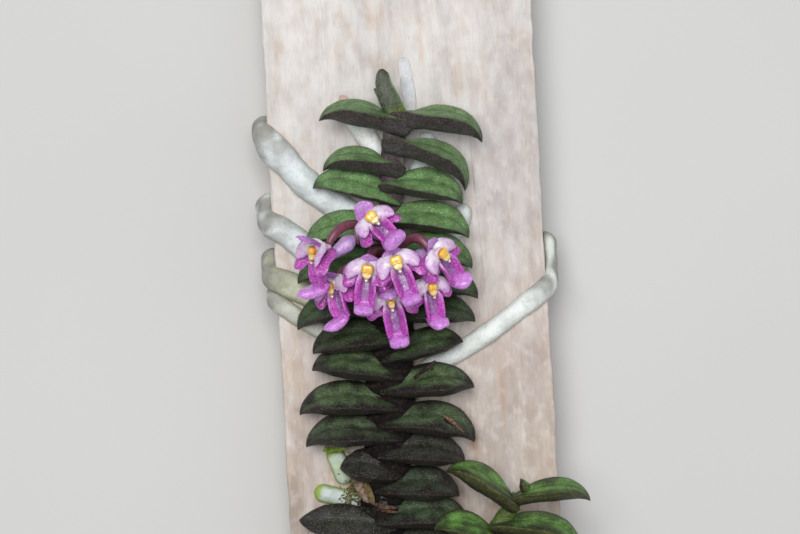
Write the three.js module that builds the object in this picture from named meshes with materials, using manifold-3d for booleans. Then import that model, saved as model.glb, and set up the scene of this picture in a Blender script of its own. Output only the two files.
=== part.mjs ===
// A miniature orchid, Schoenorchis scolopendria, in flower and rooted onto a wooden slat.
// Millimetres. The slat lies on its back with its length along Y, and the plant faces +Z.
// The origin is the centre of the slat's back face.

import * as THREE from "three";
import { mergeVertices } from "three/addons/utils/BufferGeometryUtils.js";
import Module from "manifold-3d";

const wasm = await Module();
wasm.setup();

// Driving dimensions
const seatGap = 0.3; // clearance between pieces that touch
const slat = { width: 30, length: 84, thickness: 8, easedEdge: 0.5, easingSteps: 2 };
const stemSides = 8;

const main = {
  // the stem's centre line, oldest end first
  axis: [
    [-5.2, -37.4, 9.9],
    [-4.6, -24, 9.9],
    [-3.3, -13, 9.9],
    [-2.2, 2, 9.9],
    [-1.7, 14, 10],
    [-0.7, 22.6, 10.6],
  ],
  radius: 1.5,
  tipRadius: 1.3,
  broad: 0.5, // the old part is that much wider than high
  steps: 14,
  wrap: { low: 10, high: 17, over: 42, wider: 0.18 },
};

// One row for each leaf: rank (-1 left, 1 right), where its foot crosses the stem, its tip,
// its roll towards the viewer in degrees, its arch as a share of its length, its half width, how
// far its tip is lifted, and how far its foot clasps past the stem's centre line.
const mainLeaves = [
  { rank: -1, foot: 22.2, tip: [-1.75, 27.3], roll: -52, arch: -0.1, half: 1.32, lift: 1.0, past: 0.1 },
  { rank: 1, foot: 22.4, tip: [-2.9, 25.4], roll: -8, arch: -0.05, half: 0.9, lift: 0.0, past: 0.6 },
  { rank: 1, foot: 21.7, tip: [8.4, 18.9], roll: 20, arch: 0.17, half: 2.3, lift: 0.9, past: 0.7 },
  { rank: -1, foot: 20.5, tip: [-9.0, 22.2], roll: 20, arch: 0.15, half: 2.25, lift: 0.9, past: 1.6 },
  { rank: 1, foot: 19.2, tip: [6.3, 13.8], roll: 22, arch: 0.21, half: 2.25, lift: 0.6, past: 1.2 },
  { rank: -1, foot: 16.1, tip: [-8.9, 16.8], roll: 24, arch: 0.17, half: 2.05, lift: 0.5, past: 1.2 },
  { rank: 1, foot: 14.8, tip: [5.9, 12.4], roll: 40, arch: 0.14, half: 2.15, lift: 0.3, past: 1.3 },
  { rank: -1, foot: 12.8, tip: [-10.1, 15.0], roll: 50, arch: 0.13, half: 1.95, lift: 0.1, past: 1.0 },
  { rank: 1, foot: 11.2, tip: [6.4, 8.7], roll: 42, arch: 0.14, half: 2.15, lift: 0.1, past: 1.4 },
  { rank: -1, foot: 9.3, tip: [-11.2, 8.8], roll: 42, arch: 0.14, half: 2.25, lift: 0, past: 1.5 },
  { rank: 1, foot: 7.7, tip: [6.6, 5.4], roll: 43, arch: 0.13, half: 2.2, lift: 0, past: 1.5 },
  { rank: -1, foot: 5.8, tip: [-12.3, 4.8], roll: 40, arch: 0.13, half: 2.3, lift: 0, past: 1.5 },
  { rank: 1, foot: 4.2, tip: [7.0, 2.1], roll: 44, arch: 0.13, half: 2.2, lift: 0, past: 1.5 },
  { rank: -1, foot: 2.2, tip: [-12.6, -0.2], roll: 39, arch: 0.12, half: 2.35, lift: 0, past: 1.5 },
  { rank: 1, foot: 0.7, tip: [6.6, -0.4], roll: 42, arch: 0.11, half: 2.2, lift: 0, past: 1.5 },
  { rank: -1, foot: -1.8, tip: [-11.1, -2.9], roll: 39, arch: 0.11, half: 2.4, lift: 0, past: 1.5 },
  { rank: 1, foot: -4.0, tip: [5.2, -2.5], roll: 42, arch: 0.07, half: 2.0, lift: 0, past: 1.5 },
  { rank: -1, foot: -6.0, tip: [-11.3, -4.7], roll: 38, arch: 0.11, half: 2.5, lift: 0, past: 1.5 },
  { rank: 1, foot: -7.3, tip: [6.1, -7.5], roll: 38, arch: 0.08, half: 2.4, lift: 0, past: 1.5 },
  { rank: -1, foot: -9.3, tip: [-12.9, -9.4], roll: 38, arch: 0.12, half: 2.4, lift: 0, past: 1.5 },
  { rank: 1, foot: -10.9, tip: [5.8, -13.4], roll: 38, arch: 0.15, half: 2.4, lift: 0, past: 1.5 },
  { rank: -1, foot: -12.5, tip: [-12.4, -12.9], roll: 38, arch: 0.12, half: 2.4, lift: 0, past: 1.5 },
  { rank: 1, foot: -14.2, tip: [4.6, -15.8], roll: 38, arch: 0.12, half: 2.4, lift: 0, past: 1.5 },
  { rank: -1, foot: -16.5, tip: [-8.9, -15.4], roll: 39, arch: 0.06, half: 2.3, lift: 0, past: 1.5 },
  { rank: 1, foot: -18.0, tip: [3.8, -19.2], roll: 38, arch: 0.11, half: 2.4, lift: 0, past: 1.5 },
  { rank: -1, foot: -21.8, tip: [-13.6, -20.7], roll: 52, arch: -0.02, half: 2.2, lift: 0, past: 1.5 },
  { rank: 1, foot: -21.4, tip: [4.6, -22.0], roll: 39, arch: 0.1, half: 2.4, lift: 0, past: 1.5 },
  { rank: 1, foot: -24.7, tip: [3.9, -25.6], roll: 40, arch: 0.1, half: 2.3, lift: 0, past: 1.5 },
  { rank: -1, foot: -25.4, tip: [-12.6, -26.2], roll: 41, arch: 0.1, half: 2.3, lift: 0, past: 1.5 },
  { rank: 1, foot: -27.4, tip: [3.2, -28.8], roll: 53, arch: 0.11, half: 1.8, lift: 2, past: 1.5 },
  { rank: -1, foot: -28.4, tip: [-11.8, -29.6], roll: 55, arch: 0.12, half: 1.75, lift: 0, past: 1.5 },
  { rank: -1, foot: -32.2, tip: [-10.6, -33.8], roll: 51, arch: 0.12, half: 1.6, lift: 0, past: 1.5 },
  { rank: 1, foot: -33.8, tip: [0.4, -36.6], roll: 48, arch: 0.1, half: 1.5, lift: 0, past: 1.5 },
];

const side = {
  axis: [
    [-1.9, -31.8, 9.6],
    [1.6, -29.8, 10.2],
    [5.4, -25.6, 11.2],
    [8.3, -21.8, 12.2],
    [10.1, -19.3, 12.8],
  ],
  radius: 1.15,
  tipRadius: 0.8,
  broad: 0,
  steps: 7,
  wrap: { low: -34, high: -30, over: 22, wider: 0.1 },
};

const sideLeaves = [
  { rank: -1, foot: -19.4, tip: [10.5, -17.4], roll: 20, arch: 0.05, half: 0.85, lift: 0.2, past: 1.1 },
  { rank: 1, foot: -19.9, tip: [17.8, -20.2], roll: 22, arch: 0.15, half: 1.85, lift: 0.2, past: 0.9 },
  { rank: -1, foot: -20.8, tip: [2.5, -16.2], roll: 22, arch: 0.14, half: 2.15, lift: 0.4, past: 0.9 },
  { rank: 1, foot: -22.6, tip: [16.4, -25.6], roll: 30, arch: 0.17, half: 1.9, lift: 0, past: 1.1 },
  { rank: -1, foot: -23.9, tip: [0.9, -22.4], roll: 38, arch: 0.15, half: 1.8, lift: 1.6, past: 1.1 },
  { rank: 1, foot: -26.2, tip: [13.0, -30.4], roll: 38, arch: 0.17, half: 1.75, lift: 0, past: 1.1 },
];

const leafLift = { foot: 0.7, shoulder: 1.5, bend: 1.4, tip: 0.7 }; // above the stem's centre line

// The leaf's half width along its length, as shares of the length and of the half width
const leafProfile = [
  [0, 0.36],
  [0.08, 0.52],
  [0.24, 0.75],
  [0.42, 0.95],
  [0.55, 1],
  [0.76, 0.71],
  [0.92, 0.29],
];
const budProfile = [
  [0, 0.9],
  [0.25, 1],
  [0.55, 0.88],
  [0.8, 0.72],
  [0.95, 0.45],
];

// Eight points round the leaf's section, in half widths: across from back to front margin, and
// up from the groove. Two plump halves meet in the groove above, and a blunt keel is below.
const leafSection = [
  [1, 0.32],
  [0.5, 0.4],
  [0, 0.2],
  [-0.5, 0.4],
  [-1, 0.32],
  [-0.7, -0.3],
  [0, -0.7],
  [0.7, -0.3],
];

// A root's route is unrolled over the slat: past half the width it runs down the slat's side.
const roots = {
  root_left_1: {
    half: 1.6,
    route: [
      [-4.6, 10.6], [-7.4, 12.8], [-11, 15.8], [-13.6, 19],
      [-15.6, 21.2], [-18.6, 22.4],
    ],
  },
  root_left_2: {
    half: 1.5,
    route: [[-7.4, 5.6], [-10.9, 8.3], [-13.6, 10.6], [-16, 12], [-18.2, 14.6]],
  },
  root_left_3: {
    half: 1.35,
    route: [[-7.9, 1.2], [-11.2, 3.4], [-13.8, 5], [-16, 6], [-18.2, 8.6]],
  },
  root_left_4: {
    half: 0.95,
    route: [[-9.4, -0.9], [-12.3, 0.9], [-14.2, 2.4], [-16.4, 3.8], [-19, 4.2]],
  },
  root_right_1: {
    half: 1.1,
    route: [
      [0.2, -5.6], [4.3, -3.8], [8.2, -1.6], [11.6, 0.7],
      [15, 3.2], [17, 5.4], [17.6, 9],
    ],
  },
  root_upper_left: {
    half: 1.2,
    route: [[-2.5, 17.6], [-3.8, 20.0], [-5.3, 22.6], [-6.6, 25.1]],
    tipHalf: 0.7,
  },
  root_upper_right: {
    half: 1.05,
    route: [[0.9, 15.6], [1.7, 17.2], [2.4, 19.2], [2.9, 20.5]],
  },
  root_right_2: {
    half: 1.0,
    route: [[2.2, 8.6], [4.5, 9.1], [5.8, 10.6], [6, 12.6]],
  },
  root_tip_trace: {
    half: 0.7,
    route: [[0.7, 21.9], [0.9, 23.6], [0.7, 26.2], [0.4, 28.9]],
  },
  root_low_left_1: {
    half: 1.05,
    route: [[-8.2, -17.3], [-8.7, -16.1], [-9.1, -14.8], [-9.9, -13.3]],
  },
  root_low_left_2: {
    half: 0.95,
    route: [[-6.6, -19.4], [-8.9, -18.8], [-11.9, -17.9]],
  },
  root_base_left: {
    half: 1.15,
    route: [[-7.3, -31.5], [-10.4, -31], [-13.6, -32.2], [-16.2, -34], [-18.4, -36.2]],
  },
  root_base_right: {
    half: 1.2,
    route: [
      [-2.9, -34.6], [2.6, -34.2], [8.2, -32.6], [13, -31.6],
      [16.2, -30.2], [19, -29.4],
    ],
  },
};
const rootShape = {
  height: 1.05, // in half widths
  step: 1.9, // between rings on the slat's face
  bendStep: 0.85, // between rings round its edge and down its side
  bend: 1.2, // radius of the turn over the edge
  sunk: 0.25,
  tipShare: 0.5,
  arcSteps: 5,
};

// Raceme: the flower stalk's centre line, then each bloom's place, facing in degrees and size; where
// on the stalk its pedicel starts and how far its two bends rise; the bloom's own build: lip length,
// lobe size and the lobe's length as shares of the usual, its turn aside, how far petals and sepals cup
// forward and turn aside, the spur's rise; and the hood's bend and tip.
const stalk = {
  axis: [
    [-2.3, 9.6, 11.6],
    [-2.4, 8.9, 13.4],
    [-2.5, 7.4, 14.6],
    [-2.6, 5.8, 15.1],
    [-2.5, 4.8, 15.1],
  ],
  radius: 0.6,
  tipRadius: 0.42,
  steps: 8,
};
const blooms = [
  {
    at: [-3.7, 10.9, 19.9],
    turn: { yaw: -4, pitch: -18, roll: 42 },
    size: 1.0,
    pedicel: { leaves: 0.3, first: 0.2, second: 0.1 },
    build: { reach: 0.72, lobe: 1.3, toe: 1.0, curl: 0.0, cupped: 0.0, spurRise: 0.0 },
    hood: { bow: [0, 1.5, 0.0], tip: [0, 2.47, 0.7] },
  },
  {
    at: [-9.05, 8.15, 18.1],
    turn: { yaw: -62, pitch: 4, roll: -14 },
    size: 1.1,
    pedicel: { leaves: 0.42, first: 2.1, second: 1.4 },
    build: { reach: 0.95, lobe: 1.0, toe: 1.7, curl: -0.2, cupped: 1.0, spurRise: 1.0 },
    hood: { bow: [0, 1.6, 1.3], tip: [0, 1.75, 3.1] },
  },
  {
    at: [-8.0, 4.5, 15.3],
    turn: { yaw: -36, pitch: 12, roll: 8 },
    size: 0.98,
    pedicel: { leaves: 0.6, first: 0.2, second: 0.1 },
    build: { reach: 1.0, lobe: 1.0, toe: 1.4, curl: -1.6, cupped: 0.5, spurRise: 0.0 },
    hood: { bow: [0, 0.98, 0.0], tip: [0, 1.6, 0.7] },
  },
  {
    at: [-4.6, 5.9, 18.2],
    turn: { yaw: -2, pitch: 6, roll: -9 },
    size: 1.03,
    pedicel: { leaves: 0.55, first: 0.85, second: 0.35 },
    build: { reach: 1.0, lobe: 1.0, toe: 1.0, curl: 0.0, cupped: 0.0, spurRise: 0.0 },
    hood: { bow: [0, 1.0, 0.0], tip: [0, 1.67, 0.7] },
  },
  {
    at: [-1.55, 6.5, 20.0],
    turn: { yaw: 2, pitch: 0, roll: 18 },
    size: 1.03,
    pedicel: { leaves: 0.68, first: 0.85, second: 0.35 },
    build: { reach: 1.0, lobe: 1.0, toe: 1.0, curl: 0.1, cupped: 0.0, spurRise: 0.0 },
    hood: { bow: [0, 1.0, 0.0], tip: [0, 1.67, 0.7] },
  },
  {
    at: [2.65, 7.1, 18.4],
    turn: { yaw: 40, pitch: 2, roll: 43 },
    size: 1.0,
    pedicel: { leaves: 0.5, first: -1.3, second: 2.4 },
    build: { reach: 1.0, lobe: 1.05, toe: 1.1, curl: 0.4, cupped: 0.0, spurRise: 0.3 },
    hood: { bow: [0, 1.27, 0.0], tip: [0, 2.09, 0.7] },
  },
  {
    at: [1.6, 3.75, 17.1],
    turn: { yaw: 24, pitch: 10, roll: 13 },
    size: 0.98,
    pedicel: { leaves: 0.8, first: 0.7, second: 0.3 },
    build: { reach: 1.0, lobe: 1.0, toe: 1.1, curl: 0.5, cupped: 0.0, spurRise: 0.0 },
    hood: { bow: [0, 0.98, 0.0], tip: [0, 1.6, 0.7] },
  },
  {
    at: [-2.35, 2.8, 15.8],
    turn: { yaw: 0, pitch: 12, roll: 8 },
    size: 1.08,
    pedicel: { leaves: 0.86, first: 0.1, second: 0.05 },
    build: { reach: 1.1, lobe: 0.98, toe: 1.0, curl: 0.0, cupped: 0.0, spurRise: 0.0 },
    hood: { bow: [0, 2.19, 1.6], tip: [0, 0.36, 2.7] },
  },
];
const pedicel = { radius: 0.42, ovaryRadius: 0.52, sides: 6, steps: 4 };
const hub = { radius: 0.5, sides: 6, rings: 3 }; // where a bloom's parts join
const petalThickness = 0.6;

const bract = { bloom: 1, from: 0.42, reach: [-0.3, -1.7, 0], radius: 0.33 }; // an old one on a pedicel

const oldStalk = {
  axis: [
    [-0.3, -6.0, 13.1],
    [0.8, -5.2, 13.5],
    [2.1, -4.3, 13.6],
  ],
  radius: 0.3,
};

const colours = {
  wood: 0xcfc0af,
  leaf: 0x4d7037,
  youngLeaf: 0x5f8a35,
  root: 0xd3d9d6,
  stalk: 0x6a3440,
  dryStalk: 0x6b5347,
  bloom: 0xb955c4,
  anther: 0xe0ab2e,
};

// A closed geometry as a solid: only the positions count, with shared corners merged.
function solidOf(geometry) {
  const bare = geometry.clone();
  bare.deleteAttribute("normal");
  bare.deleteAttribute("uv");
  const merged = mergeVertices(bare, 1e-4);
  return new wasm.Manifold(
    new wasm.Mesh({
      numProp: 3,
      vertProperties: new Float32Array(merged.attributes.position.array),
      triVerts: new Uint32Array(merged.index.array),
    }),
  );
}

function unionOf(solids) {
  return solids.reduce((joined, next) => joined.add(next));
}

function meshOf(solid, name, colour, roughness) {
  const { vertProperties, triVerts, numProp } = solid.getMesh();
  const count = vertProperties.length / numProp;
  const positions = new Float32Array(count * 3);
  for (let i = 0; i < count; i++) {
    positions.set(vertProperties.subarray(i * numProp, i * numProp + 3), i * 3);
  }
  const geometry = new THREE.BufferGeometry();
  geometry.setAttribute("position", new THREE.BufferAttribute(positions, 3));
  geometry.setIndex(new THREE.BufferAttribute(triVerts, 1));
  geometry.computeVertexNormals();
  const material = new THREE.MeshStandardMaterial({ color: colour, roughness, metalness: 0 });
  const mesh = new THREE.Mesh(geometry, material);
  mesh.name = name;
  return mesh;
}

// A skin over rings of points, all of the same count, closed by a fan at each end.
function skin(rings) {
  const sides = rings[0].length;
  const positions = [];
  const index = [];
  for (const ring of rings) for (const p of ring) positions.push(p.x, p.y, p.z);
  for (let r = 0; r + 1 < rings.length; r++) {
    for (let i = 0; i < sides; i++) {
      const a = r * sides + i;
      const b = r * sides + ((i + 1) % sides);
      index.push(a, a + sides, b, b, a + sides, b + sides);
    }
  }
  const close = (ring, first, outwards) => {
    const middle = ring.reduce((sum, p) => sum.add(p), new THREE.Vector3()).divideScalar(sides);
    const centre = positions.length / 3;
    positions.push(middle.x, middle.y, middle.z);
    for (let i = 0; i < sides; i++) {
      const a = first + i;
      const b = first + ((i + 1) % sides);
      if (outwards) index.push(centre, b, a);
      else index.push(centre, a, b);
    }
  };
  close(rings[0], 0, false);
  close(rings[rings.length - 1], (rings.length - 1) * sides, true);
  const geometry = new THREE.BufferGeometry();
  geometry.setAttribute("position", new THREE.Float32BufferAttribute(positions, 3));
  geometry.setIndex(index);
  const made = solidOf(geometry);
  if (made.volume() >= 0) return made;
  geometry.setIndex(index.map((_, i) => index[i - (i % 3) + [0, 2, 1][i % 3]]));
  return solidOf(geometry);
}

function vectors(points) {
  return points.map((p) => new THREE.Vector3(...p));
}

// The tangent and two directions across it, the second as near to `facing` as it can be.
function frameAlong(curve, t, facing) {
  const along = curve.getTangent(t);
  const up = facing.clone().addScaledVector(along, -facing.dot(along)).normalize();
  const across = new THREE.Vector3().crossVectors(along, up);
  return { along, up, across };
}

// A tube along a curve, with its radius given by a function of the share of the length, and how much
// wider than high it is by another.
function tube(curve, radiusAt, sides, steps, facing = new THREE.Vector3(0, 0, 1), widthAt = () => 1) {
  const rings = [];
  for (let i = 0; i <= steps; i++) {
    const t = i / steps;
    const centre = curve.getPoint(t);
    const { up, across } = frameAlong(curve, t, facing);
    const radius = radiusAt(t);
    const width = radius * widthAt(t);
    rings.push(
      Array.from({ length: sides }, (_, k) => {
        const a = (2 * Math.PI * (k + 0.5)) / sides;
        return centre
          .clone()
          .addScaledVector(up, radius * Math.cos(a))
          .addScaledVector(across, width * Math.sin(a));
      }),
    );
  }
  return skin(rings);
}

// Where a curve crosses a height y, found by halving: the stems all climb in y.
function atHeight(curve, y) {
  let [low, high] = [0, 1];
  for (let i = 0; i < 30; i++) {
    const middle = (low + high) / 2;
    if (curve.getPoint(middle).y < y) low = middle;
    else high = middle;
  }
  return curve.getPoint((low + high) / 2);
}

// A leaf: a thick folded blade on a falcate centre line that starts past the stem and hooks down.
// The upper feet wrap the stem: there the section turns over and stays wider.
function leaf(stemCurve, wrap, { rank, foot, tip, roll, arch, half, lift, past }) {
  const axis = atHeight(stemCurve, foot);
  const start = new THREE.Vector3(axis.x - rank * past, foot, axis.z + leafLift.foot);
  const end = new THREE.Vector3(tip[0], tip[1], axis.z + leafLift.tip + lift);
  const chord = end.clone().sub(start);
  const rise = new THREE.Vector3(-chord.y, chord.x, 0).multiplyScalar(rank * arch * 2.667);
  const shoulder = start.clone().addScaledVector(chord, 0.3).addScaledVector(rise, 0.35);
  shoulder.z = axis.z + leafLift.shoulder + 0.6 * lift;
  const bend = start.clone().addScaledVector(chord, 0.85).addScaledVector(rise, 0.65);
  bend.z = axis.z + leafLift.bend + lift;
  const curve = new THREE.CubicBezierCurve3(start, shoulder, bend, end);
  const upperFoot = roll > 0 ? THREE.MathUtils.smoothstep(foot, wrap.low, wrap.high) : 0;
  const profile = roll < -40 ? budProfile : leafProfile;
  const rings = profile.map(([s, share]) => {
    const wrapped = upperFoot * (1 - THREE.MathUtils.smoothstep(s, 0, 0.42));
    const turn = THREE.MathUtils.degToRad(roll - wrap.over * wrapped);
    const width = half * (share + wrap.wider * wrapped);
    const centre = curve.getPoint(s);
    const { along, up } = frameAlong(curve, s, new THREE.Vector3(0, 0, 1));
    const above = new THREE.Vector3().crossVectors(up, along).multiplyScalar(rank);
    const normal = above.clone().multiplyScalar(Math.cos(turn)).addScaledVector(up, Math.sin(turn));
    const front = up.clone().multiplyScalar(Math.cos(turn)).addScaledVector(above, -Math.sin(turn));
    return leafSection.map(([q, n]) =>
      centre
        .clone()
        .addScaledVector(front, q * width)
        .addScaledVector(normal, n * width),
    );
  });
  const point = leafSection.map(([q, n]) => {
    return end.clone().add(new THREE.Vector3(0, 0.06 * n, 0.06 * q));
  });
  return skin([...rings, point]);
}

function shoot({ axis, radius, tipRadius, broad, steps, wrap }, leaves) {
  const { lerp, smoothstep } = THREE.MathUtils;
  const curve = new THREE.CatmullRomCurve3(vectors(axis));
  const taper = (t) => lerp(radius, tipRadius, t ** 3);
  const widen = (t) => 1 + broad * smoothstep(t, 0.08, 0.25) * (1 - smoothstep(t, 0.64, 0.76));
  const stem = tube(curve, taper, stemSides, steps, new THREE.Vector3(0, 0, 1), widen);
  return unionOf([stem, ...leaves.map((row) => leaf(curve, wrap, row))]);
}

function slatSolid(grow = 0) {
  const { width, length, thickness, easedEdge, easingSteps } = slat;
  const [w, l] = [width / 2 - easedEdge + grow, length / 2 - easedEdge + grow];
  const outline = new THREE.Shape([
    new THREE.Vector2(-w, -l),
    new THREE.Vector2(w, -l),
    new THREE.Vector2(w, l),
    new THREE.Vector2(-w, l),
  ]);
  const board = new THREE.ExtrudeGeometry(outline, {
    depth: thickness - 2 * easedEdge + 2 * grow,
    bevelThickness: easedEdge,
    bevelSize: easedEdge,
    bevelSegments: easingSteps,
  });
  board.translate(0, 0, easedEdge - grow);
  return solidOf(board);
}

// A point `lift` above the slat's skin, at a place given on the slat unrolled flat.
function onSlat(x, y, lift) {
  const { bend } = rootShape;
  const [sign, reach] = [Math.sign(x), Math.abs(x)];
  const flat = slat.width / 2 - bend;
  const turn = (reach - flat) / bend;
  if (turn <= 0) return new THREE.Vector3(x, y, slat.thickness + lift);
  if (turn < Math.PI / 2) {
    const out = (bend + lift) * Math.sin(turn);
    return new THREE.Vector3(sign * (flat + out), y, slat.thickness - bend + (bend + lift) * Math.cos(turn));
  }
  const drop = reach - flat - (bend * Math.PI) / 2;
  return new THREE.Vector3(sign * (slat.width / 2 + lift), y, slat.thickness - bend - drop);
}

// A root pressed onto the slat: a low half round whose flat side follows the wood.
function root({ half, route, tipHalf = half }) {
  const curve = new THREE.SplineCurve(route.map(([x, y]) => new THREE.Vector2(x, y)));
  const length = curve.getLength();
  const edge = slat.width / 2 - rootShape.bend - half;
  const rings = [];
  for (let run = 0; run <= length; ) {
    const centre = curve.getPointAt(run / length);
    const along = curve.getTangentAt(run / length);
    const narrowing = THREE.MathUtils.smoothstep(run, length - 3.6, length - 1);
    const girth = THREE.MathUtils.lerp(half, tipHalf, narrowing);
    const width = girth * (run === length ? rootShape.tipShare : 1);
    const height = width * rootShape.height;
    const ring = [];
    for (let k = 0; k <= rootShape.arcSteps; k++) {
      const a = (Math.PI * k) / rootShape.arcSteps;
      const q = width * Math.cos(a);
      ring.push(onSlat(centre.x - q * along.y, centre.y + q * along.x, height * Math.sin(a)));
    }
    for (const q of [-width, width]) {
      ring.push(onSlat(centre.x - q * along.y, centre.y + q * along.x, -rootShape.sunk));
    }
    rings.push(ring);
    if (run === length) break;
    run = Math.min(length, run + (Math.abs(centre.x) > edge ? rootShape.bendStep : rootShape.step));
  }
  return skin(rings);
}

// Half widths along a petal or sepal, as shares of its length and of its greatest half width
const broadTip = [
  [0, 0.8],
  [0.35, 1],
  [0.76, 0.8],
  [1, 0.3],
];
const pointedTip = [
  [0, 0.6],
  [0.35, 1],
  [0.72, 0.84],
  [1, 0.2],
];
const petalSection = [
  [-1, 0],
  [-0.55, 0.5],
  [0.55, 0.5],
  [1, 0],
  [0.55, -0.5],
  [-0.55, -0.5],
];

// A petal or sepal: a thin lens along a bowed line, cupped towards `facing`.
function blade({ from, bow, to, half, cup, facing, outline }) {
  const curve = new THREE.QuadraticBezierCurve3(...vectors([from, bow, to]));
  const rings = outline.map(([s, share]) => {
    const centre = curve.getPoint(s);
    const { up, across } = frameAlong(curve, s, new THREE.Vector3(...facing));
    const depth = petalThickness * Math.min(1, 0.4 + share);
    return petalSection.map(([q, n]) =>
      centre
        .clone()
        .addScaledVector(across, q * half * share)
        .addScaledVector(up, n * depth + cup * half * share * q * q),
    );
  });
  return skin(rings);
}

// A rounded bar along a bowed line, with its half width and half depth given at each station.
function bar(points, stations, sides, facing) {
  const curve = new THREE.QuadraticBezierCurve3(...vectors(points));
  const rings = stations.map(([s, wide, deep]) => {
    const centre = curve.getPoint(s);
    const { up, across } = frameAlong(curve, s, new THREE.Vector3(...facing));
    return Array.from({ length: sides }, (_, k) => {
      const a = (2 * Math.PI * (k + 0.5)) / sides;
      return centre
        .clone()
        .addScaledVector(across, wide * Math.cos(a))
        .addScaledVector(up, deep * Math.sin(a));
    });
  });
  return skin(rings);
}

// The lip's channel: a floor between two banks with a narrow rim, running down from the hub.
const lip = { top: -0.2, length: 3.35, half: 1.1, rim: 0.4, floor: 0.55, depth: 1.33 };
const lipStations = [
  [0, 0.72, 0.8],
  [0.35, 0.99, 1],
  [0.75, 1, 0.9],
  [1, 0.94, 0.72],
];
function lipChannel(reach) {
  const rings = lipStations.map(([s, wide, tall]) => {
    const y = lip.top - lip.length * reach * s;
    const z = -0.5 + 0.2 * Math.sin(Math.PI * s) + 0.35 * s;
    const [outer, top] = [lip.half * wide, z + lip.depth * tall];
    const inner = outer - lip.rim;
    return vectors([
      [outer, y, top],
      [outer, y, z + 0.4],
      [outer * 0.6, y, z],
      [-outer * 0.6, y, z],
      [-outer, y, z + 0.4],
      [-outer, y, top],
      [-inner, y, top],
      [-outer * 0.42, y, z + lip.floor],
      [outer * 0.42, y, z + lip.floor],
      [inner, y, top],
    ]);
  });
  return skin(rings);
}

// The lip's fleshy end lobe, turned forward like the toe of a shoe.
const lobeStations = [
  [0, 1.04, 0.5],
  [0.4, 1.1, 0.56],
  [0.75, 1.05, 0.56],
  [1, 0.66, 0.32],
];

// The spur: a rounded sac behind the lip.
const spurStations = [
  [0, 0.5, 0.48],
  [0.35, 0.66, 0.62],
  [0.75, 0.88, 0.82],
  [1, 0.5, 0.44],
];

// The anther cap with the paler beak below it, as one waisted body in front of the hub.
const antherLine = [
  [0, 0.62, 1.25],
  [0, -0.3, 1.55],
  [0, -1.2, 1.25],
];
const antherStations = [
  [0, 0.4, 0.28],
  [0.22, 0.7, 0.4],
  [0.48, 0.62, 0.4],
  [0.68, 0.38, 0.32],
  [1, 0.16, 0.14],
];

function bloomSolid({ reach, lobe, toe, curl, cupped, spurRise }, hood) {
  const dorsal = blade({
    from: [0, 0.1, -0.1],
    bow: hood.bow,
    to: hood.tip,
    half: 1.15,
    cup: -0.3,
    facing: [0, 1, 0.275 * (hood.tip[2] - 0.7) - 1],
    outline: broadTip,
  });
  const pair = [-1, 1].flatMap((s) => [
    blade({
      from: [0.05 * s, 0.35, 0.25],
      bow: [1.45 * s, 0.8, 0.9 + 0.3 * cupped],
      to: [1.95 * s, -1.05, 0.8 + 1.2 * cupped],
      half: 0.84,
      cup: -0.2,
      facing: [0.3 * cupped * (1 - s), 0.4, 1],
      outline: broadTip,
    }),
    blade({
      from: [0.4 * s, -0.1, -0.2],
      bow: [1.75 * s, 0, 0.6 * cupped - 0.1],
      to: [2.25 * s, -1.9, 0.4 + 1.6 * cupped],
      half: 0.95,
      cup: -0.25,
      facing: [0.35 * s * (1 - cupped) + 0.8 * cupped, 0.2, 1],
      outline: pointedTip,
    }),
  ]);
  const end = lip.top - lip.length * reach;
  const lobeLine = [
    [0, end + 0.4, 0.05],
    [0.4 * curl, end - 0.7 * lobe, 0.1],
    [curl, end - 0.72 * lobe, 1.8 * lobe * toe],
  ];
  const spurLine = [
    [0, 0.2 * spurRise - 0.9, -0.1],
    [0, 0.9 * spurRise - 1.1, -1.8],
    [0, spurRise, -3.15],
  ];
  return unionOf([
    solidOf(new THREE.SphereGeometry(hub.radius, hub.sides, hub.rings)),
    dorsal,
    ...pair,
    lipChannel(reach),
    bar(lobeLine, lobeStations, 8, [0, 1, 0.4]),
    bar(spurLine, spurStations, 6, [0, 1, 0.2]),
  ]);
}

function placement({ at, turn: { yaw, pitch, roll }, size }) {
  const turn = new THREE.Euler(...[pitch, yaw, roll].map(THREE.MathUtils.degToRad), "YXZ");
  return new THREE.Matrix4().compose(
    new THREE.Vector3(...at),
    new THREE.Quaternion().setFromEuler(turn),
    new THREE.Vector3(size, size, size),
  );
}

// The stalk with its pedicels: each leaves the stalk, arches over and swells into the ovary.
function stalkSolid() {
  const curve = new THREE.CatmullRomCurve3(vectors(stalk.axis));
  const taper = (t) => THREE.MathUtils.lerp(stalk.radius, stalk.tipRadius, t);
  const parts = [tube(curve, taper, stemSides, stalk.steps, new THREE.Vector3(1, 0, 0))];
  blooms.forEach((bloom, i) => {
    const place = placement(bloom);
    const { leaves, first: low, second } = bloom.pedicel;
    const start = curve.getPoint(leaves);
    const seat = 0.35 + 0.3 * bloom.build.spurRise;
    const back = new THREE.Vector3(0, seat, -(hub.radius + seatGap + 0.05)).applyMatrix4(place);
    const behind = new THREE.Vector3(0, 1.7, -1.8).applyMatrix4(place);
    behind.y += second;
    const first = start.clone().lerp(behind, 0.45);
    first.y += low;
    const route = new THREE.CubicBezierCurve3(start, first, behind, back);
    const swell = (t) => {
      const share = Math.sin((Math.PI / 2) * t);
      return THREE.MathUtils.lerp(pedicel.radius, pedicel.ovaryRadius, share) * (t === 1 ? 0.7 : 1);
    };
    parts.push(tube(route, swell, pedicel.sides, pedicel.steps, new THREE.Vector3(0.2, 0.3, 1)));
    if (i === bract.bloom) {
      const root = route.getPoint(bract.from);
      const end = root.clone().add(new THREE.Vector3(...bract.reach));
      const line = new THREE.LineCurve3(root, end);
      parts.push(tube(line, (t) => bract.radius * (1 - 0.4 * t), 5, 2, new THREE.Vector3(1, 0, 0)));
    }
  });
  return unionOf(parts);
}

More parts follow.
